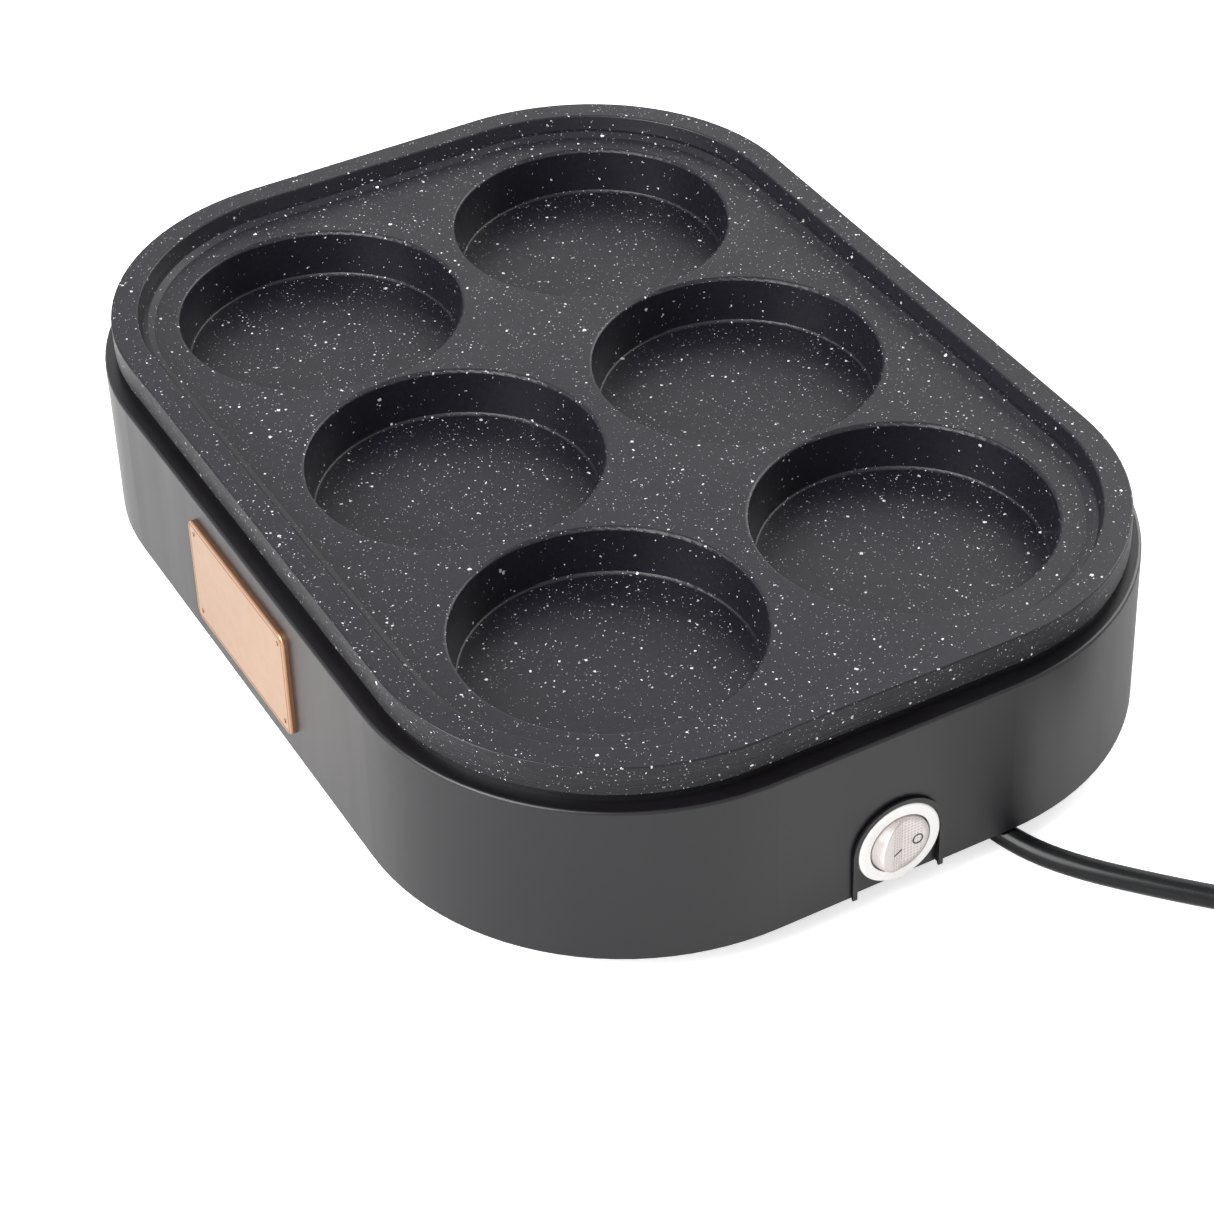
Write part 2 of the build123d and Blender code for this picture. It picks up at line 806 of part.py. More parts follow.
with BuildPart() as fuse_clip:
    with BuildSketch(fuse_plane):
        Circle(fuse_clip_radius)
        Rectangle(fuse_clip_reach, sleeve_radius, align=(Align.MIN, Align.MIN))
        Rectangle(fuse_clip_radius, sleeve_radius, align=(Align.MAX, Align.MIN))
        with Locations((fuse_clip_radius, 0)):
            Rectangle(
                fuse_clip_reach,
                sleeve_radius - fuse_clip_thickness,
                align=(Align.MIN, Align.MIN),
                mode=Mode.SUBTRACT,
            )
        Rectangle(2 * sleeve_radius, sleeve_radius, align=(Align.CENTER, Align.MIN), mode=Mode.SUBTRACT)
        with Locations((0, sleeve_radius)):
            Rectangle(
                2 * fuse_clip_radius, fuse_clip_radius, align=(Align.CENTER, Align.MIN), mode=Mode.SUBTRACT
            )
        Circle(sleeve_radius, mode=Mode.SUBTRACT)
    extrude(amount=fuse_clip_width / 2, both=True)
    with BuildSketch(Plane.XY.offset(fuse_clip_z)):
        with Locations(*fuse_screw_places):
            Circle(m3_radius + screw_gap)
    extrude(amount=fuse_clip_thickness, mode=Mode.SUBTRACT)
keep(fuse_clip.part, "fuse_clip")

keep(small_screws(Plane.XY.offset(fuse_clip_z), fuse_screw_places, fuse_screw_length), "fuse_screw")

# Heat shield: deep pan under the plate, with a flange on the ledge whose edge turns up
with BuildPart() as heat_shield:
    with BuildSketch(Plane.XY.offset(shield_low_z)):
        outline(shield_width, shield_length, shield_corner_radius, 0)
    extrude(amount=shield_drop)
    with BuildSketch(Plane.XY.offset(ledge_z)):
        outline(flange_width, flange_length, flange_corner_radius, 0)
    extrude(amount=sheet + shield_lip_height)
    with BuildSketch(Plane.XY.offset(ledge_z + sheet)):
        outline(flange_width, flange_length, flange_corner_radius, sheet)
    extrude(amount=shield_lip_height, mode=Mode.SUBTRACT)
    with BuildSketch(Plane.XY.offset(shield_top_z)):
        outline(shield_width, shield_length, shield_corner_radius, sheet)
    extrude(amount=shield_drop, mode=Mode.SUBTRACT)
    inner_bend = heat_shield.edges().filter_by_position(Axis.Z, shield_top_z, shield_top_z)
    fillet(inner_bend, radius=shield_bend_radius - sheet)
    fillet(heat_shield.edges().group_by(Axis.Z)[0], radius=shield_bend_radius)
    with BuildSketch(Plane.XY.offset(shield_low_z)):
        with Locations(*post_places):
            Circle(m4_radius + seat_gap)
        with Locations(*element_ends):
            Circle(tube_radius + element_hole_gap)
        with Locations((0, sensor_y)):
            Circle(sensor_hole_radius)
        with Locations((fuse_x, fuse_y - fuse_hole_offset), (fuse_x, fuse_y + fuse_hole_offset)):
            Circle(fuse_hole_radius)
        with Locations((earth_x, earth_y)):
            Circle(m3_radius + screw_gap)
    extrude(amount=sheet, mode=Mode.SUBTRACT)
keep(heat_shield.part, "heat_shield")

with BuildPart() as insulating_washers:
    with BuildSketch(Plane.XY.offset(post_top_z)):
        with Locations(*post_places):
            Circle(washer_radius)
            Circle(m4_radius + screw_gap, mode=Mode.SUBTRACT)
    extrude(amount=washer_thickness)
keep(insulating_washers.part, "insulating_washers")

plate_screws = screws(
    Plane.XY.offset(post_seat_z),
    post_places,
    shield_top_z + m4_grip - post_seat_z,
    m4_radius,
    m4_head_radius,
    m4_head_height,
    m4_drive_radius,
    m4_drive_depth,
)
keep(plate_screws, "plate_screws")

with BuildPart() as earth_tag:
    with BuildSketch(Plane.XY.offset(earth_tag_z)):
        with Locations((earth_x, earth_y)):
            Circle(earth_tag_radius)
            Rectangle(
                earth_tail_width, earth_tag_radius + earth_tail_length, align=(Align.CENTER, Align.MAX)
            )
            Circle(m3_radius + screw_gap, mode=Mode.SUBTRACT)
    extrude(amount=earth_tag_thickness)
keep(earth_tag.part, "earth_tag")

keep(small_screws(Plane.XY.offset(earth_tag_z), [(earth_x, earth_y)], earth_screw_length), "earth_screw")

# Housing: flared wall, ledge with a stiffened opening, gussets, rebate for the cover, and the arch
inner_top_z = ledge_z - ledge_thickness
gusset_wall_x = housing_width / 2 - wall_thickness + gusset_root
gusset_lip_x = opening_width / 2 + opening_lip_thickness - gusset_root
gusset_wall_y = housing_length / 2 - wall_thickness + gusset_root
gusset_lip_y = opening_length / 2 + opening_lip_thickness - gusset_root

with BuildPart() as housing:
    with BuildSketch(Plane.XY.offset(foot_height)):
        outline(base_width, base_length, base_corner_radius, 0)
    with BuildSketch(Plane.XY.offset(ledge_z)):
        outline(housing_width, housing_length, housing_corner_radius, 0)
    loft(ruled=True)
    fillet(housing.edges().group_by(Axis.Z)[-1], radius=ledge_edge_radius)
    with BuildSketch(Plane.XY.offset(foot_height)):
        outline(base_width, base_length, base_corner_radius, wall_thickness)
    with BuildSketch(Plane.XY.offset(inner_top_z)):
        outline(housing_width, housing_length, housing_corner_radius, wall_thickness)
    loft(ruled=True, mode=Mode.SUBTRACT)
    with BuildSketch(Plane.XY.offset(inner_top_z - opening_lip_depth)):
        outline(opening_width, opening_length, opening_corner_radius, -opening_lip_thickness)
    extrude(amount=opening_lip_depth)
    for number in range(side_gusset_count):
        with BuildSketch(Plane.XZ.offset(side_gusset_pitch * (number - (side_gusset_count - 1) / 2))):
            gusset(gusset_wall_x, gusset_lip_x)
            gusset(-gusset_wall_x, -gusset_lip_x)
        extrude(amount=gusset_thickness / 2, both=True)
    for number in range(end_gusset_count):
        with BuildSketch(Plane.YZ.offset(end_gusset_pitch * (number - (end_gusset_count - 1) / 2))):
            gusset(gusset_wall_y, gusset_lip_y)
            gusset(-gusset_wall_y, -gusset_lip_y)
        extrude(amount=gusset_thickness / 2, both=True)
    with BuildSketch(Plane.XY.offset(inner_top_z - opening_lip_depth)):
        outline(opening_width, opening_length, opening_corner_radius, 0)
    extrude(amount=opening_lip_depth + ledge_thickness, mode=Mode.SUBTRACT)
    with BuildSketch(Plane.XY.offset(foot_height)):
        outline(base_width, base_length, base_corner_radius, wall_thickness - rebate_depth)
    extrude(amount=cover_top_z - foot_height, mode=Mode.SUBTRACT)
    with BuildSketch(looking_back(wall_front_y - cut_over)):
        arch(arch_radius, foot_height - cut_over)
    extrude(amount=wall_thickness + 2 * cut_over, mode=Mode.SUBTRACT)
    with BuildSketch(badge_plane):
        with GridLocations(badge_pin_pitch_x, badge_pin_pitch_y, 2, 2):
            Circle(badge_pin_radius + screw_gap)
    extrude(amount=-(wall_thickness + cut_over), mode=Mode.SUBTRACT)
keep(housing.part, "housing")

# Bottom cover: posts, ribs and foot bosses, vents, the cord bay and the seat of the cord clamp
clamp_seat_z = gland_z - cord_clamp_split / 2

with BuildPart() as bottom_cover:
    with BuildSketch(Plane.XY.offset(cover_z)):
        outline(cover_width, cover_length, cover_corner_radius, 0)
    extrude(amount=cover_thickness)
    with BuildSketch(Plane.XY.offset(cover_top_z)):
        outline(cover_width, cover_length, cover_corner_radius, cover_rib_inset)
        RectangleRounded(
            cover_width - 2 * (cover_rib_inset + cover_rib_thickness),
            cover_length - 2 * (cover_rib_inset + cover_rib_thickness),
            cover_corner_radius - cover_rib_inset - cover_rib_thickness,
            mode=Mode.SUBTRACT,
        )
    extrude(amount=cover_rib_height)
    with Locations(Plane.XY.offset(cover_top_z)):
        with Locations(*post_places):
            Cone(
                post_foot_radius,
                post_radius,
                post_top_z - cover_top_z,
                align=(Align.CENTER, Align.CENTER, Align.MIN),
            )
    with BuildSketch(Plane.XY.offset(cover_top_z)):
        with Locations(*foot_places):
            Circle(foot_boss_radius)
    extrude(amount=foot_boss_height)
    with BuildSketch(Plane.XY.offset(cover_z)):
        with Locations((bay_low_x - bay_wall, bay_front_y - bay_wall)):
            Rectangle(
                bay_high_x - bay_low_x + 2 * bay_wall,
                bay_end_y - bay_front_y + bay_wall,
                align=(Align.MIN, Align.MIN),
            )
    extrude(amount=bay_roof_z + bay_wall - cover_z)
    with BuildSketch(Plane.XY.offset(cover_z)):
        with Locations((bay_low_x, bay_front_y)):
            Rectangle(bay_high_x - bay_low_x, bay_back_y - bay_front_y, align=(Align.MIN, Align.MIN))
    extrude(amount=bay_roof_z - cover_z, mode=Mode.SUBTRACT)
    with BuildSketch(along_cord(bay_end_y)):
        Circle(gland_neck_radius)
    extrude(amount=bay_wall, mode=Mode.SUBTRACT)
    with BuildSketch(Plane.XY.offset(cover_top_z)):
        with Locations((cord_x, cord_clamp_y)):
            Rectangle(2 * cord_clamp_half, cord_clamp_width)
    extrude(amount=clamp_seat_z - cover_top_z)
    with BuildSketch(along_cord(cord_clamp_y)):
        Circle(cord_radius + tube_fit_gap)
    extrude(amount=cord_clamp_width, both=True, mode=Mode.SUBTRACT)
    with BuildSketch(Plane.XY.offset(clamp_seat_z)):
        with Locations((cord_x, cord_clamp_y)):
            with GridLocations(2 * cord_clamp_screw_offset, 0, 2, 1):
                Circle(m3_radius + screw_gap)
    extrude(amount=-cord_clamp_screw_length, mode=Mode.SUBTRACT)
    with BuildSketch(Plane.XY.offset(cover_z)):
        with Locations(*post_places):
            Circle(post_bore_radius)
    extrude(amount=post_seat_z - cover_z, mode=Mode.SUBTRACT)
    with BuildSketch(Plane.XY.offset(post_seat_z)):
        with Locations(*post_places):
            Circle(m4_radius + seat_gap)
    extrude(amount=post_cap, mode=Mode.SUBTRACT)
    with BuildSketch(Plane.XY.offset(cover_z)):
        with Locations(*foot_places):
            Circle(m3_radius + screw_gap)
    extrude(amount=cover_thickness + foot_boss_height, mode=Mode.SUBTRACT)
    with BuildSketch(Plane.XY.offset(cover_z)):
        with GridLocations(2 * vent_x, 2 * vent_y, 2, 2):
            with GridLocations(0, vent_pitch, 1, vent_count):
                SlotOverall(vent_length, vent_width)
        with Locations((block_x, block_y)):
            with Locations(*block_mount_places):
                Circle(block_mount_radius + screw_gap)
    extrude(amount=cover_thickness, mode=Mode.SUBTRACT)
    with BuildSketch(Plane.XY.offset(cover_z)):
        with Locations((0, panel_back_y + seat_gap)):
            Rectangle(2 * notch_half, panel_thickness + cut_over, align=(Align.CENTER, Align.MAX))
    extrude(amount=cover_thickness, mode=Mode.SUBTRACT)
    with BuildSketch(looking_back(panel_back_y)):
        Circle(barrel_radius + barrel_relief_gap)
    extrude(amount=barrel_depth, mode=Mode.SUBTRACT)
keep(bottom_cover.part, "bottom_cover")

with BuildPart() as rubber_feet:
    with Locations(*foot_places):
        Cone(
            foot_tread_radius,
            foot_radius,
            foot_tread_height,
            align=(Align.CENTER, Align.CENTER, Align.MIN),
        )
    with BuildSketch(Plane.XY.offset(foot_tread_height)):
        with Locations(*foot_places):
            Circle(foot_radius)
    extrude(amount=cover_z - foot_tread_height)
    with BuildSketch(Plane.XY):
        with Locations(*foot_places):
            Circle(foot_bore_radius)
    extrude(amount=foot_seat_z, mode=Mode.SUBTRACT)
    with BuildSketch(Plane.XY.offset(foot_seat_z)):
        with Locations(*foot_places):
            Circle(m3_radius + screw_gap)
    extrude(amount=foot_web, mode=Mode.SUBTRACT)
keep(rubber_feet.part, "rubber_feet")

keep(small_screws(Plane.XY.offset(foot_seat_z), foot_places, foot_screw_length), "foot_screws")

# Switch panel: tongue in the arch, lip over its front edge, flange behind the wall, ears on the cover
lip_front_y = wall_front_y - panel_lip_proud
lip_back_y = wall_front_y - panel_lip_gap
lip_outer_radius = arch_radius + panel_lip_overlap
lip_inner_radius = lip_outer_radius - panel_lip_width

with BuildPart() as switch_panel:
    with BuildSketch(looking_back(lip_front_y)):
        arch(arch_radius - panel_gap, foot_height)
    extrude(amount=panel_back_y - lip_front_y)
    with BuildSketch(looking_back(lip_front_y)):
        arch(lip_outer_radius, foot_height - panel_tooth)
    extrude(amount=lip_back_y - lip_front_y)
    with BuildSketch(looking_back(panel_back_y)):
        arch(arch_radius + panel_flange_reach, foot_height)
    extrude(amount=-panel_flange_thickness)
    with BuildSketch(Plane.XY.offset(cover_top_z)):
        with Locations((panel_ear_x, panel_back_y), (-panel_ear_x, panel_back_y)):
            Rectangle(panel_ear_width, panel_ear_depth, align=(Align.CENTER, Align.MIN))
    extrude(amount=panel_ear_height)
    with BuildSketch(looking_back(lip_front_y)):
        arch(lip_inner_radius, foot_height - cut_over)
    extrude(amount=panel_front_y - lip_front_y, mode=Mode.SUBTRACT)
    with BuildSketch(looking_back(panel_front_y)):
        Circle(barrel_radius + barrel_hole_gap)
    extrude(amount=panel_thickness, mode=Mode.SUBTRACT)
keep(switch_panel.part, "switch_panel")

# Switch body: bezel, barrel with two snap catches, round well for the rocker and its pivot holes
catch_y = panel_back_y + tube_fit_gap
lamp_wires = [(-lamp_wire_pitch / 2, lamp_offset), (lamp_wire_pitch / 2, lamp_offset)]

with BuildPart() as switch_body:
    with BuildSketch(looking_back(bezel_front_y)):
        Circle(bezel_radius)
    extrude(amount=bezel_thickness)
    fillet(switch_body.edges().group_by(Axis.Y)[0], radius=bezel_edge_radius)
    with BuildSketch(looking_back(panel_front_y)):
        Circle(barrel_radius)
    extrude(amount=barrel_depth)
    with BuildSketch(looking_back(catch_y)):
        Rectangle(2 * (barrel_radius + catch_proud), catch_width)
    with BuildSketch(looking_back(catch_y + catch_length)):
        Rectangle(2 * (barrel_radius - catch_proud), catch_width)
    loft(ruled=True)
    with BuildSketch(looking_back(bezel_front_y)):
        Circle(rocker_well_radius)
    extrude(amount=rocker_well_depth, mode=Mode.SUBTRACT)
    with BuildSketch(Plane.XY.offset(switch_z)):
        with Locations((0, pivot_y)):
            Circle(pivot_radius + tube_fit_gap)
    extrude(amount=rocker_well_radius + pivot_reach + tube_fit_gap, both=True, mode=Mode.SUBTRACT)
    with BuildSketch(looking_back(barrel_back_y - terminal_root)):
        with GridLocations(terminal_pitch, 0, terminal_count, 1):
            Rectangle(terminal_thickness, terminal_width)
    extrude(amount=terminal_root, mode=Mode.SUBTRACT)
    with BuildSketch(looking_back(rocker_well_y)):
        with Locations(*lamp_wires):
            Circle(lamp_wire_radius + tube_fit_gap)
    extrude(amount=barrel_back_y - rocker_well_y, mode=Mode.SUBTRACT)
keep(switch_body.part, "switch_body")

with BuildPart() as switch_terminals:
    with BuildSketch(looking_back(barrel_back_y - terminal_root)):
        with GridLocations(terminal_pitch, 0, terminal_count, 1):
            Rectangle(terminal_thickness, terminal_width)
    extrude(amount=terminal_root + terminal_length)
keep(switch_terminals.part, "switch_terminals")

with BuildPart() as switch_lamp:
    with BuildSketch(looking_back(rocker_well_y)):
        with Locations((0, lamp_offset)):
            Circle(lamp_radius)
    extrude(amount=-lamp_length)
    with BuildSketch(looking_back(rocker_well_y)):
        with Locations(*lamp_wires):
            Circle(lamp_wire_radius)
    extrude(amount=barrel_back_y - rocker_well_y)
keep(switch_lamp.part, "switch_lamp")

# Rocker: part of a ball on a pin, with a shallow V across its face; it rests with the +X half down
tilt = math.radians(rocker_tilt)
rocker_plane = Plane(
    origin=(0, pivot_y, switch_z),
    x_dir=(-math.cos(tilt), -math.sin(tilt), 0),
    z_dir=(-math.sin(tilt), math.cos(tilt), 0),
)
rocker_section = Plane(origin=rocker_plane.origin, x_dir=rocker_plane.x_dir, z_dir=(0, 0, 1))
face_reach = rocker_radius + cut_over
face_rise = rocker_face_height + face_reach * math.tan(tilt)
pin_half = rocker_well_radius + pivot_reach

with BuildPart() as switch_rocker:
    with Locations((0, pivot_y, switch_z)):
        Sphere(rocker_radius)
    with BuildSketch(rocker_section):
        Circle(pivot_radius)
    extrude(amount=pin_half, both=True)
    with BuildSketch(rocker_section):
        Polygon(
            (0, rocker_face_height),
            (face_reach, face_rise),
            (face_reach, face_rise + face_reach),
            (-face_reach, face_rise + face_reach),
            (-face_reach, face_rise),
            align=None,
        )
        with Locations((0, -rocker_back_depth)):
            Rectangle(2 * face_reach, face_reach, align=(Align.CENTER, Align.MAX))
    extrude(amount=face_reach, both=True, mode=Mode.SUBTRACT)
    with BuildSketch(rocker_plane.offset(rocker_back_depth)):
        Circle(rocker_pocket_radius)
    extrude(amount=rocker_skin - rocker_face_height - rocker_back_depth, mode=Mode.SUBTRACT)
keep(switch_rocker.part, "switch_rocker")

# Badge and the pins that fix it to the wall
with BuildPart() as badge:
    with BuildSketch(badge_plane):
        RectangleRounded(badge_length, badge_height, badge_corner_radius)
    extrude(amount=badge_thickness)
    fillet(badge.edges().group_by(Axis.X)[0], radius=badge_edge_radius)
    with BuildSketch(badge_plane):
        with GridLocations(badge_pin_pitch_x, badge_pin_pitch_y, 2, 2):
            Circle(badge_pin_radius + screw_gap)
    extrude(amount=badge_thickness, mode=Mode.SUBTRACT)
keep(badge.part, "badge")

with BuildPart() as badge_pins:
    with BuildSketch(badge_plane.offset(badge_thickness)):
        with GridLocations(badge_pin_pitch_x, badge_pin_pitch_y, 2, 2):
            Circle(badge_pin_head_radius)
    extrude(amount=badge_pin_head_height)
    with BuildSketch(badge_plane.offset(badge_thickness)):
        with GridLocations(badge_pin_pitch_x, badge_pin_pitch_y, 2, 2):
            Circle(badge_pin_radius)
    extrude(amount=-badge_pin_length)
keep(badge_pins.part, "badge_pins")

# Gland in the end wall of the bay, with a tapered, grooved nose towards the outside
nose_y = bay_back_y - gland_flange_thickness
groove_pitch = gland_nose_length / (gland_groove_count + 1)

with BuildPart() as cord_gland:
    with BuildSketch(along_cord(bay_end_y + gland_flange_thickness)):
        Circle(gland_flange_radius)
    extrude(amount=gland_flange_thickness)
    with BuildSketch(along_cord(bay_end_y)):
        Circle(gland_neck_radius)
    extrude(amount=bay_wall)
    with BuildSketch(along_cord(bay_back_y)):
        Circle(gland_flange_radius)
    extrude(amount=gland_flange_thickness)
    with BuildSketch(along_cord(nose_y)):
        Circle(gland_base_radius)
    with BuildSketch(along_cord(gland_tip_y)):
        Circle(gland_tip_radius)
    loft()
    for number in range(gland_groove_count):
        travel = (number + 1) * groove_pitch
        outer = gland_base_radius + (gland_tip_radius - gland_base_radius) * travel / gland_nose_length
        with BuildSketch(along_cord(nose_y - travel + gland_groove_width / 2)):
            Circle(gland_base_radius)
            Circle(outer - gland_groove_depth, mode=Mode.SUBTRACT)
        extrude(amount=gland_groove_width, mode=Mode.SUBTRACT)
    with BuildSketch(along_cord(bay_end_y + gland_flange_thickness)):
        Circle(cord_radius + tube_fit_gap)
    extrude(amount=bay_end_y + gland_flange_thickness - gland_tip_y, mode=Mode.SUBTRACT)
keep(cord_gland.part, "cord_gland")

with BuildPart() as cord_tail:
    with BuildSketch(along_cord(tail_end_y)):
        Circle(cord_radius)
    extrude(amount=tail_end_y - gland_tip_y)
keep(cord_tail.part, "cord_tail")

clamp_arch_radius = cord_radius + tube_fit_gap + cord_clamp_wall
clamp_ear_top = cord_clamp_split / 2 + cord_clamp_wall

with BuildPart() as cord_clamp:
    with BuildSketch(along_cord(cord_clamp_y)):
        Circle(clamp_arch_radius)
        Rectangle(2 * cord_clamp_half, 2 * clamp_ear_top)
        Circle(cord_radius + tube_fit_gap, mode=Mode.SUBTRACT)
        with Locations((0, cord_clamp_split / 2)):
            Rectangle(
                2 * cord_clamp_half,
                clamp_arch_radius + cut_over,
                align=(Align.CENTER, Align.MAX),
                mode=Mode.SUBTRACT,
            )
    extrude(amount=cord_clamp_width / 2, both=True)
    with BuildSketch(Plane.XY.offset(gland_z)):
        with Locations((cord_x, cord_clamp_y)):
            with GridLocations(2 * cord_clamp_screw_offset, 0, 2, 1):
                Circle(m3_radius + screw_gap)
    extrude(amount=clamp_ear_top, mode=Mode.SUBTRACT)
keep(cord_clamp.part, "cord_clamp")

cord_clamp_seat = Plane(
    origin=(cord_x, cord_clamp_y, gland_z + clamp_ear_top), x_dir=(1, 0, 0), z_dir=(0, 0, -1)
)
cord_clamp_screws = small_screws(
    cord_clamp_seat,
    [(-cord_clamp_screw_offset, 0), (cord_clamp_screw_offset, 0)],
    cord_clamp_screw_length + cord_clamp_wall,
)
keep(cord_clamp_screws, "cord_clamp_screws")

# Terminal block with one bore a way and a screw over each end of each bore
block_columns = [(number - (block_ways - 1) / 2) * block_pitch for number in range(block_ways)]
block_screw_places = [(x, side * block_screw_offset) for x in block_columns for side in (-1, 1)]
block_face = Plane(origin=(block_x, block_y, block_bore_z), x_dir=(1, 0, 0), z_dir=(0, -1, 0))
block_floor = Plane(origin=(block_x, block_y, cover_top_z))
block_seat = Plane(origin=(block_x, block_y, block_mount_seat_z))

with BuildPart() as terminal_block:
    with BuildSketch(block_floor):
        Rectangle(block_width, block_depth)
    extrude(amount=block_height)
    with BuildSketch(block_face):
        with Locations(*[(x, 0) for x in block_columns]):
            Circle(block_bore_radius)
    extrude(amount=block_depth / 2, both=True, mode=Mode.SUBTRACT)
    with BuildSketch(block_floor.offset(block_bore_height)):
        with Locations(*block_screw_places):
            Circle(block_screw_radius + tube_fit_gap)
    extrude(amount=block_height - block_bore_height, mode=Mode.SUBTRACT)
    with BuildSketch(block_floor):
        with Locations(*block_mount_places):
            Circle(block_mount_radius + screw_gap)
    extrude(amount=block_height, mode=Mode.SUBTRACT)
    with BuildSketch(block_seat):
        with Locations(*block_mount_places):
            Circle(block_mount_head_radius + screw_gap)
    extrude(amount=block_mount_head_height, mode=Mode.SUBTRACT)
keep(terminal_block.part, "terminal_block")

with BuildPart() as terminal_screws:
    with BuildSketch(block_floor.offset(block_bore_height + lead_radius)):
        with Locations(*block_screw_places):
            Circle(block_screw_radius)
    extrude(amount=block_height - block_bore_height - lead_radius - block_screw_recess)
keep(terminal_screws.part, "terminal_screws")

with BuildPart() as block_screws:
    with BuildSketch(block_seat):
        with Locations(*block_mount_places):
            Circle(block_mount_head_radius)
    extrude(amount=block_mount_head_height)
    with BuildSketch(block_seat):
        with Locations(*block_mount_places):
            Circle(block_mount_radius)
    extrude(amount=cover_z - block_mount_seat_z)
keep(block_screws.part, "block_screws")

# Inner leads, whose routes between their two ends are chosen by hand
core_places = [(-1, -core_low), (0, core_high), (1, -core_low)]

with BuildPart() as cord_cores:
    for side, lift in core_places:
        start_x = cord_x + side * core_side
        track_y = tail_end_y + core_reach + side * core_track
        way_x = block_x - side * block_pitch
        core_points = [
            (start_x, tail_end_y, gland_z + lift),
            (start_x, track_y, gland_z + lift),
            (way_x, track_y, block_bore_z),
            (way_x, block_y + lead_reach, block_bore_z),
        ]
        add(round_tube(core_points, lead_radius, lead_bend_share))
keep(cord_cores.part, "cord_cores")

side_track_x = post_x - lead_post_gap

lead_runs = {
    "lead_live": [
        (-terminal_pitch, terminal_end_y, switch_z),
        inside(-terminal_pitch, 30.1, switch_z),
        inside(block_x + block_pitch, 46.6, block_bore_z),
        (block_x + block_pitch, block_y - lead_reach, block_bore_z),
    ],
    "lead_switched": [
        (0, terminal_end_y, switch_z),
        inside(0, 29.3, switch_z),
        inside(13, 37.6, 21),
        inside(9.5, 75.6, 22.5),
        (-sensor_blade_offset, sensor_y, 21),
        (-sensor_blade_offset, sensor_y, sensor_blade_low_z),
    ],
    "lead_heater": [
        (sensor_blade_offset, sensor_y, sensor_blade_low_z),
        (sensor_blade_offset, sensor_y, 22.5),
        inside(30, 95.6, 24),
        inside(element_x + lead_bow, 71.6, 23),
        inside(element_x + lead_bow, 43.6, 15),
        (element_x, element_end_y, 13.5),
        (element_x, element_end_y, blade_low_z),
    ],
    "lead_fused": [
        (-element_x, element_end_y + lead_split, blade_low_z),
        (-element_x, element_end_y + lead_split, 13.5),
        inside(-element_x - lead_swing, 43.6, 14),
        inside(-side_track_x, 77.6, 16),
        (-side_track_x, 0, 20),
        (-50, fuse_y + sleeve_length / 2, 22),
        (fuse_x, fuse_y + fuse_hole_offset, 23),
        (fuse_x, fuse_y + fuse_hole_offset, fuse_z),
        (fuse_x, fuse_y + sleeve_length / 2, fuse_z),
    ],
    "lead_neutral": [
        (block_x - block_pitch, block_y - lead_reach, block_bore_z),
        inside(block_x - block_pitch, 50.6, block_bore_z),
        inside(-53, 49.6, 17),
        inside(-60, 61.6, 18.5),
        inside(-58, 87.6, 20),
        (-44, -8, 20),
        (fuse_x, fuse_y - fuse_hole_offset, 22),
        (fuse_x, fuse_y - fuse_hole_offset, fuse_z),
        (fuse_x, fuse_y - sleeve_length / 2, fuse_z),
    ],
    "lead_lamp": [
        (terminal_pitch, terminal_end_y, switch_z),
        inside(terminal_pitch, 28.8, switch_z),
        inside(1, 30, 14.5),
        inside(-30, 28.6, 14),
        (-element_x, element_end_y - lead_split, 13.5),
        (-element_x, element_end_y - lead_split, blade_low_z),
    ],
    "lead_earth": [
        (block_x, block_y - lead_reach, block_bore_z),
        inside(block_x, 47.6, block_bore_z),
        inside(-50, 41.6, 24),
        inside(earth_x, 43.6, earth_tag_z - lead_radius),
        (earth_x, earth_y - earth_tail_length + earth_tag_radius, earth_tag_z - lead_radius),
    ],
}
for name, points in lead_runs.items():
    keep(round_tube(points, lead_radius, lead_bend_share), name)

# Power cord
keep(round_tube(cord_points, cord_radius, cord_bend_share), "power_cord")
print("cord bend radii:", [round(radius, 1) for radius in corner_radii(cord_points, cord_bend_share)])

# Coil: spirals in on the floor, climbs one layer where the spiral reverses, and spirals out again
coil_entry = (Vector(*cord_points[-1]) - Vector(*cord_points[-2])).normalized()
coil_start = Vector(*cord_points[-1]) + coil_entry * cord_diameter
coil_lean = math.atan(coil_step / (2 * math.pi * coil_radius))
coil_angle = math.atan2(coil_entry.Y, coil_entry.X) - math.pi / 2 - coil_lean
coil_centre = coil_start - Vector(math.cos(coil_angle), math.sin(coil_angle), 0) * coil_radius
turn_at_top = coil_low_turns + coil_climb_turns
turn_at_back = coil_low_turns + coil_climb_turns / 2
coil_turns = turn_at_top + coil_high_turns


def coil_place(turns):
    """Point on the coil and its direction, a number of turns after it starts."""
    back_radius = coil_radius - coil_step * turn_at_back
    radius = back_radius + coil_step * abs(turns - turn_at_back)
    growth = coil_step * ((turns > turn_at_back) - (turns < turn_at_back))
    climb = min(max((turns - coil_low_turns) / coil_climb_turns, 0), 1)
    rise = coil_layer / coil_climb_turns * coil_climb_slope_share if 0 < climb < 1 else 0
    angle = coil_angle + 2 * math.pi * turns
    outward = Vector(math.cos(angle), math.sin(angle), 0)
    onward = Vector(-math.sin(angle), math.cos(angle), 0)
    place = coil_centre + outward * radius + Vector(0, 0, coil_layer * climb)
    way = outward * growth + onward * (2 * math.pi * radius) + Vector(0, 0, rise)
    return place, way.normalized()


def biarc_middle(start, start_way, end, end_way):
    """Point where the two arcs meet that join two points tangent to their directions."""
    chord = end - start
    ways = start_way + end_way
    spread = 2 * (1 - start_way.dot(end_way))
    along = chord.dot(ways)
    reach = (math.sqrt(along**2 + spread * chord.dot(chord)) - along) / spread
    return (start + end + (start_way - end_way) * reach) * 0.5


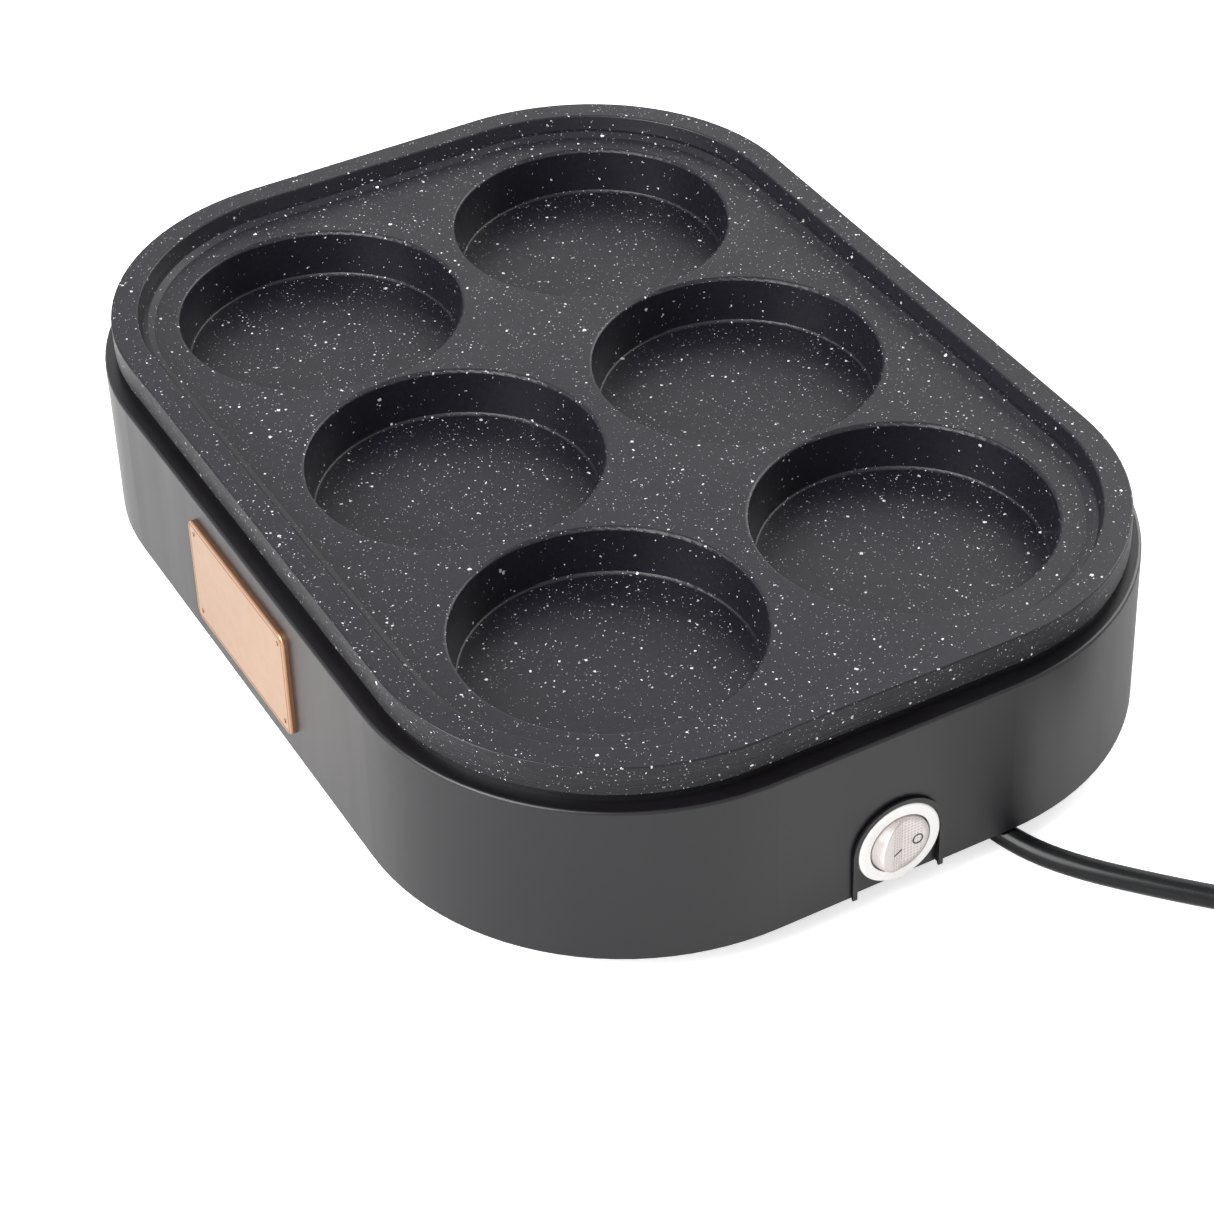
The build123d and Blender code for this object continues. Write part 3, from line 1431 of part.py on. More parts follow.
coil_stops = [number * coil_arc_turns for number in range(math.ceil(coil_turns / coil_arc_turns))]
coil_stops.append(coil_turns)

with BuildPart() as cord_coil:
    with BuildLine() as coil_route:
        here, way = coil_place(0)
        Line(here - way * cord_diameter, here)
        for stop in coil_stops[1:]:
            there, there_way = coil_place(stop)
            middle = biarc_middle(here, way, there, there_way)
            first_arc = TangentArc(here, middle, tangent=way)
            TangentArc(middle, there, tangent=first_arc % 1)
            here, way = there, there_way
        Line(here, here + way * cord_diameter)
    with BuildSketch(Plane(origin=coil_route.line @ 0, z_dir=coil_route.line % 0)):
        Circle(cord_radius)
    sweep()
keep(cord_coil.part, "cord_coil")
print("coil volume over section times length:", tube_ratio(cord_coil.part, coil_route.wire(), cord_radius))

coil_axis = coil_route.wire()
coil_points = [coil_axis @ (number / coil_samples) for number in range(coil_samples + 1)]
half_turn_samples = int(coil_samples * math.pi * (coil_radius - coil_step) / coil_axis.length)
coil_gap = min(
    (coil_points[late] - coil_points[early]).length
    for early in range(coil_samples)
    for late in range(early + half_turn_samples, coil_samples + 1)
)
print("least gap of the coil to itself:", round(coil_gap - cord_diameter, 2))

# Last stretch of the cord, which rises from the top layer of the coil to the plug
end_way = coil_axis % 1
end_start = coil_axis @ 1
plug_rise = Vector(0, 0, plug_flat - end_start.Z)
end_points = [
    end_start,
    end_start + end_way * end_run,
    end_start + end_way * (end_run + end_rise_run) + plug_rise,
    end_start + end_way * (2 * end_run + end_rise_run) + plug_rise,
]
end_tuples = [tuple(point) for point in end_points]
keep(round_tube(end_tuples, cord_radius, cord_bend_share), "cord_end")
print("end bend radii:", [round(radius, 1) for radius in corner_radii(end_tuples, cord_bend_share)])

# Plug: sleeve, waist and round front with two flats, guide slots, an earth hole and two pins
plug_tail = Plane(origin=end_points[-1], x_dir=(-end_way.Y, end_way.X, 0), z_dir=end_way)
plug_grip = plug_tail.offset(plug_neck_length)
plug_shoulder = plug_grip.offset(plug_grip_length)
plug_face = plug_shoulder.offset(plug_front_length)

with BuildPart() as plug_body:
    with BuildSketch(plug_tail):
        Circle(plug_tip_radius)
    with BuildSketch(plug_grip):
        Circle(plug_neck_radius)
    loft()
    with BuildSketch(plug_grip):
        Circle(plug_grip_radius)
    with BuildSketch(plug_shoulder):
        Circle(plug_front_radius)
    loft()
    with BuildSketch(plug_shoulder):
        Circle(plug_front_radius)
    extrude(amount=plug_front_length)
    face_edge = plug_body.edges().sort_by(Axis(plug_tail.origin, end_way))[-1]
    fillet(face_edge, radius=plug_edge_radius)
    with BuildSketch(plug_tail):
        with Locations((0, plug_flat)):
            Rectangle(2 * plug_front_radius, plug_front_radius, align=(Align.CENTER, Align.MIN))
        with Locations((0, -plug_flat)):
            Rectangle(2 * plug_front_radius, plug_front_radius, align=(Align.CENTER, Align.MAX))
    extrude(amount=plug_neck_length + plug_grip_length + plug_front_length, mode=Mode.SUBTRACT)
    with BuildSketch(plug_face):
        with Locations((0, plug_flat), (0, -plug_flat)):
            Rectangle(plug_rail_width, 2 * plug_rail_depth)
    extrude(amount=-plug_rail_length, mode=Mode.SUBTRACT)
    with BuildSketch(plug_face):
        with Locations((0, plug_pin_pitch / 2), (0, -plug_pin_pitch / 2)):
            Circle(plug_pin_radius)
    extrude(amount=-plug_pin_root, mode=Mode.SUBTRACT)
    with BuildSketch(plug_face):
        with Locations((plug_earth_offset, 0)):
            Circle(plug_earth_radius)
    extrude(amount=-plug_earth_depth, mode=Mode.SUBTRACT)
    with BuildSketch(plug_face):
        with Locations((plug_front_radius - contact_inset, 0)):
            Rectangle(contact_inset + cut_over, contact_width, align=(Align.MIN, Align.CENTER))
        with Locations((contact_inset - plug_front_radius, 0)):
            Rectangle(contact_inset + cut_over, contact_width, align=(Align.MAX, Align.CENTER))
    extrude(amount=-contact_length, mode=Mode.SUBTRACT)
keep(plug_body.part, "plug_body")

with BuildPart() as plug_pins:
    with BuildSketch(plug_face.offset(-plug_pin_root)):
        with Locations((0, plug_pin_pitch / 2), (0, -plug_pin_pitch / 2)):
            Circle(plug_pin_radius)
    extrude(amount=plug_pin_root + plug_pin_length)
    pin_tips = plug_pins.edges().group_by(Axis(plug_tail.origin, end_way))[-1]
    fillet(pin_tips, radius=plug_pin_tip_radius)
keep(plug_pins.part, "plug_pins")

with BuildPart() as plug_contacts:
    with BuildSketch(plug_face.offset(-contact_length)):
        with Locations((plug_front_radius - contact_inset, 0)):
            Rectangle(contact_thickness, contact_width, align=(Align.MIN, Align.CENTER))
        with Locations((contact_inset - plug_front_radius, 0)):
            Rectangle(contact_thickness, contact_width, align=(Align.MAX, Align.CENTER))
    extrude(amount=contact_length)
keep(plug_contacts.part, "plug_contacts")

# Every piece moves by the same step, which puts the middle of the pan without its loose cord at the origin
loose_names = ["power_cord", "cord_coil", "cord_end", "plug_body", "plug_pins", "plug_contacts"]
boxes = [piece.bounding_box() for name, piece in pieces.items() if name not in loose_names]
move_x = -(min(box.min.X for box in boxes) + max(box.max.X for box in boxes)) / 2
move_y = -(min(box.min.Y for box in boxes) + max(box.max.Y for box in boxes)) / 2
print("all pieces are moved by:", round(move_x, 3), round(move_y, 3))

for name, piece in pieces.items():
    moved = piece.moved(Location((move_x, move_y, 0)))
    moved.label = name
    export_step(moved, f"parts/{name}.step")
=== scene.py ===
"""Looks of an electric egg pan: a flecked cast plate with six wells on a low satin housing.

Blender works in metres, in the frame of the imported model. Lengths in capitals and those named _mm are
millimetres. Only CORD_DIAMETER and FLOOR_SIDE_M are metres, and FOCAL_PIXELS is in pixels of the photo.
"""
import json
import math

import bmesh
import bpy
from mathutils import Matrix, Vector


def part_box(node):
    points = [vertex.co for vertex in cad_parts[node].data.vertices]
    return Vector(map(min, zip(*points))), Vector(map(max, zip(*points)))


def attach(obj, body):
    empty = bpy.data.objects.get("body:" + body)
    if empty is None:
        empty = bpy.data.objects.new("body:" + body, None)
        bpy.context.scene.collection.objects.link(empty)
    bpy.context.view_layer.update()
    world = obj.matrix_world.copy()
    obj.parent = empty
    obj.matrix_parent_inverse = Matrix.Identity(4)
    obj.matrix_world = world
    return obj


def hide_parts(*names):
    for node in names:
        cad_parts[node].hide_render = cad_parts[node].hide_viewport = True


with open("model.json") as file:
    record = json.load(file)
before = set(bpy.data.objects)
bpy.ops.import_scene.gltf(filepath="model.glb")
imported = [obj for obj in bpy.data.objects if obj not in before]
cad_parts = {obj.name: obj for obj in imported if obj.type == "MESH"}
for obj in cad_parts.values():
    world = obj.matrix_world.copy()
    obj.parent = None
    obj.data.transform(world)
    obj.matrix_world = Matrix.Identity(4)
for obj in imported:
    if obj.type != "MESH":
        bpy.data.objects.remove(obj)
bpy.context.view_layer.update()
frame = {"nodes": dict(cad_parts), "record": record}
nodes = frame["nodes"]
MM = 0.001

housing_low, housing_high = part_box("housing")
housing_middle = (housing_low + housing_high) / 2
housing_middle.z = 0


def place(x_mm, y_mm, z_mm):
    """Point given in millimetres from the floor under the middle of the housing."""
    return housing_middle + Vector((x_mm, y_mm, z_mm)) * MM


def linear(hex_colour):
    """Linear RGBA of an sRGB hex colour."""
    channels = [int(hex_colour[start:start + 2], 16) / 255 for start in (1, 3, 5)]
    lit = [c / 12.92 if c <= 0.04045 else ((c + 0.055) / 1.055) ** 2.4 for c in channels]
    return (*lit, 1)


def add(tree, kind, settings, inputs):
    """Adds a node, sets its properties, and gives each input a value or a link."""
    node = tree.nodes.new(kind)
    for name, value in settings.items():
        setattr(node, name, value)
    for name, value in inputs.items():
        if isinstance(value, bpy.types.NodeSocket):
            tree.links.new(value, node.inputs[name])
        else:
            node.inputs[name].default_value = value
    return node


def finish(name, colour, roughness, metallic=0.0, **shader_values):
    """New material with its shader set. Returns the material, its node tree and the shader."""
    material = bpy.data.materials.new(name)
    material.use_nodes = True
    tree = material.node_tree
    tree.nodes.clear()
    shader = add(tree, "ShaderNodeBsdfPrincipled", {}, {
        "Base Color": linear(colour), "Roughness": roughness, "Metallic": metallic,
    })
    for socket, value in shader_values.items():
        shader.inputs[socket.replace("_", " ")].default_value = value
    add(tree, "ShaderNodeOutputMaterial", {}, {"Surface": shader.outputs["BSDF"]})
    material.diffuse_color = linear(colour)
    return material, tree, shader


def grain(tree, shader, size_mm, height_mm, where=None):
    """Fine moulded or sprayed grain, as a bump in the shader's normal. Returns the bump."""
    where = where or add(tree, "ShaderNodeTexCoord", {}, {}).outputs["Object"]
    noise = add(tree, "ShaderNodeTexNoise", {}, {
        "Vector": where, "Scale": 1 / (size_mm * MM), "Detail": 3.0,
    })
    bump = add(tree, "ShaderNodeBump", {}, {
        "Height": noise.outputs["Fac"], "Strength": 1.0, "Distance": height_mm * MM,
    })
    tree.links.new(bump.outputs["Normal"], shader.inputs["Normal"])
    return bump


# Most values of a noise texture lie between these
NOISE_LOW = 0.3
NOISE_HIGH = 0.7


def vary(tree, shader, socket, size_mm, low, high, where=None):
    """Slow variation of one of the shader's inputs, between two values or two hex colours."""
    where = where or add(tree, "ShaderNodeTexCoord", {}, {}).outputs["Object"]
    noise = add(tree, "ShaderNodeTexNoise", {}, {
        "Vector": where, "Scale": 1 / (size_mm * MM), "Detail": 4.0,
    })
    if isinstance(low, str):
        mixed = add(tree, "ShaderNodeMix", {"data_type": "RGBA"}, {
            0: noise.outputs["Fac"], 6: linear(low), 7: linear(high),
        }).outputs[2]
    else:
        mixed = add(tree, "ShaderNodeMapRange", {}, {
            "Value": noise.outputs["Fac"], "From Min": NOISE_LOW, "From Max": NOISE_HIGH,
            "To Min": low, "To Max": high,
        }).outputs["Result"]
    tree.links.new(mixed, shader.inputs[socket])


# Camera, as in the photo. The real plate sits 1.2 degrees askew on its housing, and the camera turns by
# half of that about the middle of the housing, so that plate and housing are off by the same small angle
PHOTO_PIXELS = 1214
FOCAL_PIXELS = 3198.5
CAMERA_TURN = math.radians(0.6)
CAMERA_STAND_MM = (-334.0, -615.0, 558.6)
camera_data = bpy.data.cameras.new("photo_view")
camera = bpy.data.objects.new("photo_view", camera_data)
bpy.context.scene.collection.objects.link(camera)
bpy.context.scene.camera = camera
camera_data.sensor_width = 36
camera_data.lens = FOCAL_PIXELS / PHOTO_PIXELS * camera_data.sensor_width
camera_data.clip_start = 0.01
right = Vector((0.8667, -0.498, -0.0291))
down = Vector((-0.3332, -0.5346, -0.7766))
forward = Vector((0.3712, 0.6828, -0.6293))
axes = Matrix((right, -down, -forward)).transposed().to_4x4()
stand = Matrix.Translation(Vector(CAMERA_STAND_MM) * MM)
turn = Matrix.Rotation(CAMERA_TURN, 4, "Z")
camera.matrix_world = Matrix.Translation(housing_middle) @ turn @ stand @ axes

# Cord: the points of its way over the floor, then the coil's turns, then the rise to the plug.
# The coil winds inwards on the floor, climbs one layer, and winds outwards again on top
CORD_DIAMETER = 0.0062
cord_way_mm = [
    (24, -99, 17.8),
    (24, -112, 17.8),
    (26, -127.5, 12.7),
    (33, -142.5, 4.2),
    (40.3, -159, 3.15),
    (57, -179.5, 3.15),
    (79.4, -203, 3.15),
    (100.2, -223.2, 3.15),
]
COIL_RADIUS = 39.5
COIL_STEP = 7.2
COIL_LAYER = 6.7
COIL_LOW_TURNS = 1.5
COIL_CLIMB_TURNS = 0.5
COIL_HIGH_TURNS = 1.33
POINTS_PER_TURN = 16
END_RUN = 21
END_RISE_RUN = 24
PLUG_AXIS_Z = 16.9

last_run = Vector(cord_way_mm[-1]) - Vector(cord_way_mm[-2])
entry = last_run.normalized()
coil_start = Vector(cord_way_mm[-1]) + entry * CORD_DIAMETER / MM
coil_lean = math.atan(COIL_STEP / (2 * math.pi * COIL_RADIUS))
coil_angle = math.atan2(entry.y, entry.x) - math.pi / 2 - coil_lean
coil_centre = coil_start - Vector((math.cos(coil_angle), math.sin(coil_angle), 0)) * COIL_RADIUS
coil_turns = COIL_LOW_TURNS + COIL_CLIMB_TURNS + COIL_HIGH_TURNS
turn_at_back = COIL_LOW_TURNS + COIL_CLIMB_TURNS / 2


def coil_place(turns, outward_share=1.0):
    """Point on the coil and its direction, a number of turns after it starts."""
    back_radius = COIL_RADIUS - COIL_STEP * turn_at_back
    radius = (back_radius + COIL_STEP * abs(turns - turn_at_back)) * outward_share
    climb = min(max((turns - COIL_LOW_TURNS) / COIL_CLIMB_TURNS, 0), 1)
    angle = coil_angle + 2 * math.pi * turns
    outward = Vector((math.cos(angle), math.sin(angle), 0))
    onward = Vector((-math.sin(angle), math.cos(angle), 0))
    growth = COIL_STEP * (1 if turns > turn_at_back else -1)
    way = (outward * growth + onward * 2 * math.pi * radius).normalized()
    return coil_centre + outward * radius + Vector((0, 0, COIL_LAYER * climb)), way


# The spline cuts inside its control points, so they stand out by the share that it cuts
stand_out = 1 / math.cos(math.pi / POINTS_PER_TURN)
coil_count = round(coil_turns * POINTS_PER_TURN)
coil_way = [coil_place(number / POINTS_PER_TURN, stand_out)[0] for number in range(coil_count)]
coil_end, end_way = coil_place(coil_turns)
coil_out = coil_end + end_way * CORD_DIAMETER / MM
plug_rise = Vector((0, 0, PLUG_AXIS_Z - coil_out.z))
end_way_mm = [
    coil_out,
    coil_out + end_way * END_RUN,
    coil_out + end_way * (END_RUN + END_RISE_RUN) + plug_rise,
    coil_out + end_way * (2 * END_RUN + END_RISE_RUN) + plug_rise,
]
cord_route = [place(*point) for point in [*cord_way_mm, *coil_way[1:], *end_way_mm]]

cord_curve = bpy.data.curves.new("mains_cord", "CURVE")
cord_curve.dimensions = "3D"
cord_spline = cord_curve.splines.new("NURBS")
cord_spline.points.add(len(cord_route) - 1)
for point, where in zip(cord_spline.points, cord_route):
    point.co = (*where, 1)
cord_spline.order_u = 3
cord_spline.use_endpoint_u = True
cord_spline.resolution_u = 6
cord_curve.bevel_depth = CORD_DIAMETER / 2
cord_curve.bevel_resolution = 5
cord_curve.use_fill_caps = True
cord = bpy.data.objects.new("mains_cord", cord_curve)
bpy.context.scene.collection.objects.link(cord)


def cord_length(curve_object):
    """Length of the cord's own spline, read from the curve with no bevel."""
    bare = curve_object.copy()
    bare.data = curve_object.data.copy()
    bare.data.bevel_depth = 0
    mesh = bpy.data.meshes.new_from_object(bare)
    ends = [[mesh.vertices[number].co for number in edge.vertices] for edge in mesh.edges]
    total = sum((there - here).length for here, there in ends)
    bpy.data.objects.remove(bare)
    bpy.data.meshes.remove(mesh)
    return total


# Tie round the coil's four runs: a springy strap, open below, whose lips tuck in under the lowest runs.
# Its corners are given as across, up, radius and the angle at which the arc starts, in degrees
TIE_AT_TURN = 0.27
TIE_RUNS = 4
TIE_THICKNESS = 0.9
TIE_WIDTH = 7
TIE_PLAY = 0.15
TIE_LIP = 1.3
TIE_TOP_ROUND = 3.2
TIE_LOW_ROUND = 1
TIE_EDGE = 0.2
ROUND_STEPS = 6
SMOOTH_ANGLE = math.radians(40)
run_centres = [coil_place(TIE_AT_TURN + number)[0] for number in range(TIE_RUNS)]
tie_way = coil_place(TIE_AT_TURN)[1]
tie_out = Vector((tie_way.y, -tie_way.x, 0))
tie_middle = sum(run_centres, Vector()) / TIE_RUNS
beyond_run = CORD_DIAMETER / MM / 2 + TIE_PLAY + TIE_THICKNESS / 2
tie_side = max((run - tie_middle).dot(tie_out) for run in run_centres) + beyond_run
tie_top = max(run.z for run in run_centres) + beyond_run
tie_low = TIE_PLAY + TIE_THICKNESS / 2
tie_corners = [
    (-tie_side + TIE_LOW_ROUND, tie_low + TIE_LOW_ROUND, TIE_LOW_ROUND, 270),
    (-tie_side + TIE_TOP_ROUND, tie_top - TIE_TOP_ROUND, TIE_TOP_ROUND, 180),
    (tie_side - TIE_TOP_ROUND, tie_top - TIE_TOP_ROUND, TIE_TOP_ROUND, 90),
    (tie_side - TIE_LOW_ROUND, tie_low + TIE_LOW_ROUND, TIE_LOW_ROUND, 0),
]
tie_outline = [(-tie_side + TIE_LIP, tie_low)]
for across, up, radius, first_angle in tie_corners:
    for step in range(ROUND_STEPS + 1):
        angle = math.radians(first_angle - 90 * step / ROUND_STEPS)
        tie_outline.append((across + radius * math.cos(angle), up + radius * math.sin(angle)))
tie_outline.append((tie_side - TIE_LIP, tie_low))
tie_points = [place(*(tie_middle.xy + tie_out.xy * across), up) for across, up in tie_outline]

bpy.ops.object.select_all(action="DESELECT")
bpy.ops.mesh.primitive_plane_add(
    size=TIE_WIDTH * MM, location=tie_points[0] + tie_out * TIE_WIDTH * MM / 2,
    rotation=(0, 0, math.atan2(tie_out.y, tie_out.x)),
)
cord_tie = bpy.context.object
cord_tie.name = "cord_tie"
bpy.ops.object.mode_set(mode="EDIT")
bpy.ops.mesh.select_all(action="DESELECT")
tie_mesh = bmesh.from_edit_mesh(cord_tie.data)
for corner in tie_mesh.verts:
    corner.select = corner.co.x > 0
tie_mesh.select_flush(True)
bmesh.update_edit_mesh(cord_tie.data)
bpy.ops.mesh.delete(type="VERT")
bpy.ops.mesh.select_all(action="SELECT")
for here, there in zip(tie_points, tie_points[1:]):
    bpy.ops.mesh.extrude_region_move(TRANSFORM_OT_translate={"value": there - here})
bpy.ops.mesh.select_all(action="SELECT")
bpy.ops.mesh.normals_make_consistent(inside=False)
bpy.ops.object.mode_set(mode="OBJECT")
bpy.ops.object.transform_apply(location=True, rotation=True, scale=True)
thicken = cord_tie.modifiers.new("thickness", "SOLIDIFY")
thicken.thickness = TIE_THICKNESS * MM
thicken.offset = 0
soften = cord_tie.modifiers.new("rounding", "BEVEL")
soften.width = TIE_EDGE * MM
soften.segments = 2
soften.limit_method = "ANGLE"
bpy.ops.object.modifier_apply(modifier="thickness")
bpy.ops.object.modifier_apply(modifier="rounding")
bpy.ops.object.shade_smooth_by_angle(angle=SMOOTH_ANGLE)

# Raised marks of the rocker: a ring on the +X half, which lies flat at rest, and a bar on the -X half,
# which then leans outward by the rocker's whole angle
SWITCH_Z = 20.8
MARK_HEIGHT = 0.12
MARK_EDGE = 0.03
RING_RADIUS = 1.55
RING_STROKE = 0.36
RING_SIDES = 64
BAR_LENGTH = 3.1
BAR_STROKE = 0.3
ROCKER_LEAN = math.radians(22)
ring_middle = place(4.9, -148.96, SWITCH_Z - 0.6)
bar_middle = place(-1.24, -149.62, SWITCH_Z - 1.97)

bpy.ops.object.select_all(action="DESELECT")
bpy.ops.mesh.primitive_circle_add(
    vertices=RING_SIDES, radius=RING_RADIUS * MM, fill_type="NGON", location=ring_middle,
    rotation=(math.pi / 2, 0, 0),
)
off_mark = bpy.context.object
off_mark.name = "off_mark"
bpy.ops.object.mode_set(mode="EDIT")
bpy.ops.mesh.select_all(action="SELECT")
bpy.ops.mesh.inset(thickness=RING_STROKE * MM)
bpy.ops.mesh.delete(type="FACE")
bpy.ops.mesh.select_all(action="SELECT")
bpy.ops.mesh.extrude_region_move(TRANSFORM_OT_translate={"value": (0, -MARK_HEIGHT * MM, 0)})
bpy.ops.mesh.select_all(action="SELECT")
bpy.ops.mesh.bevel(offset=MARK_EDGE * MM, segments=1, affect="EDGES")
bpy.ops.mesh.normals_make_consistent(inside=False)
bpy.ops.object.mode_set(mode="OBJECT")
bpy.ops.object.transform_apply(location=True, rotation=True, scale=True)

bpy.ops.object.select_all(action="DESELECT")
bpy.ops.mesh.primitive_cube_add(
    size=BAR_STROKE * MM, location=bar_middle, rotation=(0, 0, ROCKER_LEAN),
)
on_mark = bpy.context.object
on_mark.name = "on_mark"
bpy.ops.object.mode_set(mode="EDIT")
bpy.ops.mesh.select_all(action="SELECT")
bpy.ops.transform.resize(
    value=(BAR_LENGTH / BAR_STROKE, 2 * MARK_HEIGHT / BAR_STROKE, 1), orient_type="LOCAL",
)
bpy.ops.mesh.bevel(offset=MARK_EDGE * MM, segments=2, affect="EDGES")
bpy.ops.mesh.normals_make_consistent(inside=False)
bpy.ops.object.mode_set(mode="OBJECT")
bpy.ops.object.transform_apply(location=True, rotation=True, scale=True)

# Flecks of the coating, one row for each size: the spacing of its cells, the least and largest radius,
# the share of the cells that hold one, and its tone. The finest real flecks are under 0.1 mm across, and
# the last row is drawn coarser so that it shows. A wobbling place gives them ragged outlines
FLECK_LAYERS = [
    (5.2, 0.26, 0.52, 0.50, "#E4E5EA"),
    (2.8, 0.17, 0.36, 0.62, "#DFE0E5"),
    (1.6, 0.12, 0.24, 0.62, "#D2D3D9"),
    (0.9, 0.08, 0.15, 0.66, "#AEAFB6"),
]
FLECK_WOBBLE = 0.7
FLECK_RAGGED = 1.0
FAINTEST_FLECK = 0.58
FLECKS_ON_WALLS = 0.2
EDGE_CROWDING = 1.5
COATING_CLOUD = 1.4
# Turned outer edge of the plate: where it blends in, and the run, width, contrast and height of its lines
PLATE_CORNER_RADIUS = 66
EDGE_BLEND = (0.5, 0.2)
TURNING_RUN = 30
TURNING_LINE = 0.45
TURNING_CONTRAST = (0.42, 0.68)
TURNING_RIDGE = 0.05


def fleck_layer(tree, where, density, colour, layer):
    """Lays one size of fleck over a colour and returns the new colour's socket."""
    cell, least, largest, share, tone = layer
    cells = add(tree, "ShaderNodeTexVoronoi", {"feature": "F1"}, {
        "Vector": where, "Scale": 1 / (cell * MM), "Randomness": 1.0,
    })
    chance = add(tree, "ShaderNodeSeparateColor", {}, {"Color": cells.outputs["Color"]})
    limit = add(tree, "ShaderNodeMath", {"operation": "MULTIPLY_ADD"}, {
        0: density, 1: -share, 2: 1.0,
    })
    present = add(tree, "ShaderNodeMath", {"operation": "GREATER_THAN"}, {
        0: chance.outputs["Green"], 1: limit.outputs[0],
    })
    radius = add(tree, "ShaderNodeMapRange", {}, {
        "Value": chance.outputs["Green"], "From Min": 1 - share, "From Max": 1.0,
        "To Min": least / cell, "To Max": largest / cell,
    })
    inside = add(tree, "ShaderNodeMath", {"operation": "LESS_THAN"}, {
        0: cells.outputs["Distance"], 1: radius.outputs["Result"],
    })
    strength = add(tree, "ShaderNodeMapRange", {}, {
        "Value": chance.outputs["Red"], "To Min": FAINTEST_FLECK, "To Max": 1.0,
    })
    shown = add(tree, "ShaderNodeMath", {"operation": "MULTIPLY"}, {
        0: inside.outputs[0], 1: present.outputs[0],
    })
    mask = add(tree, "ShaderNodeMath", {"operation": "MULTIPLY"}, {
        0: shown.outputs[0], 1: strength.outputs["Result"],
    })
    return add(tree, "ShaderNodeMix", {"data_type": "RGBA"}, {
        0: mask.outputs[0], 6: colour, 7: linear(tone),
    }).outputs[2]


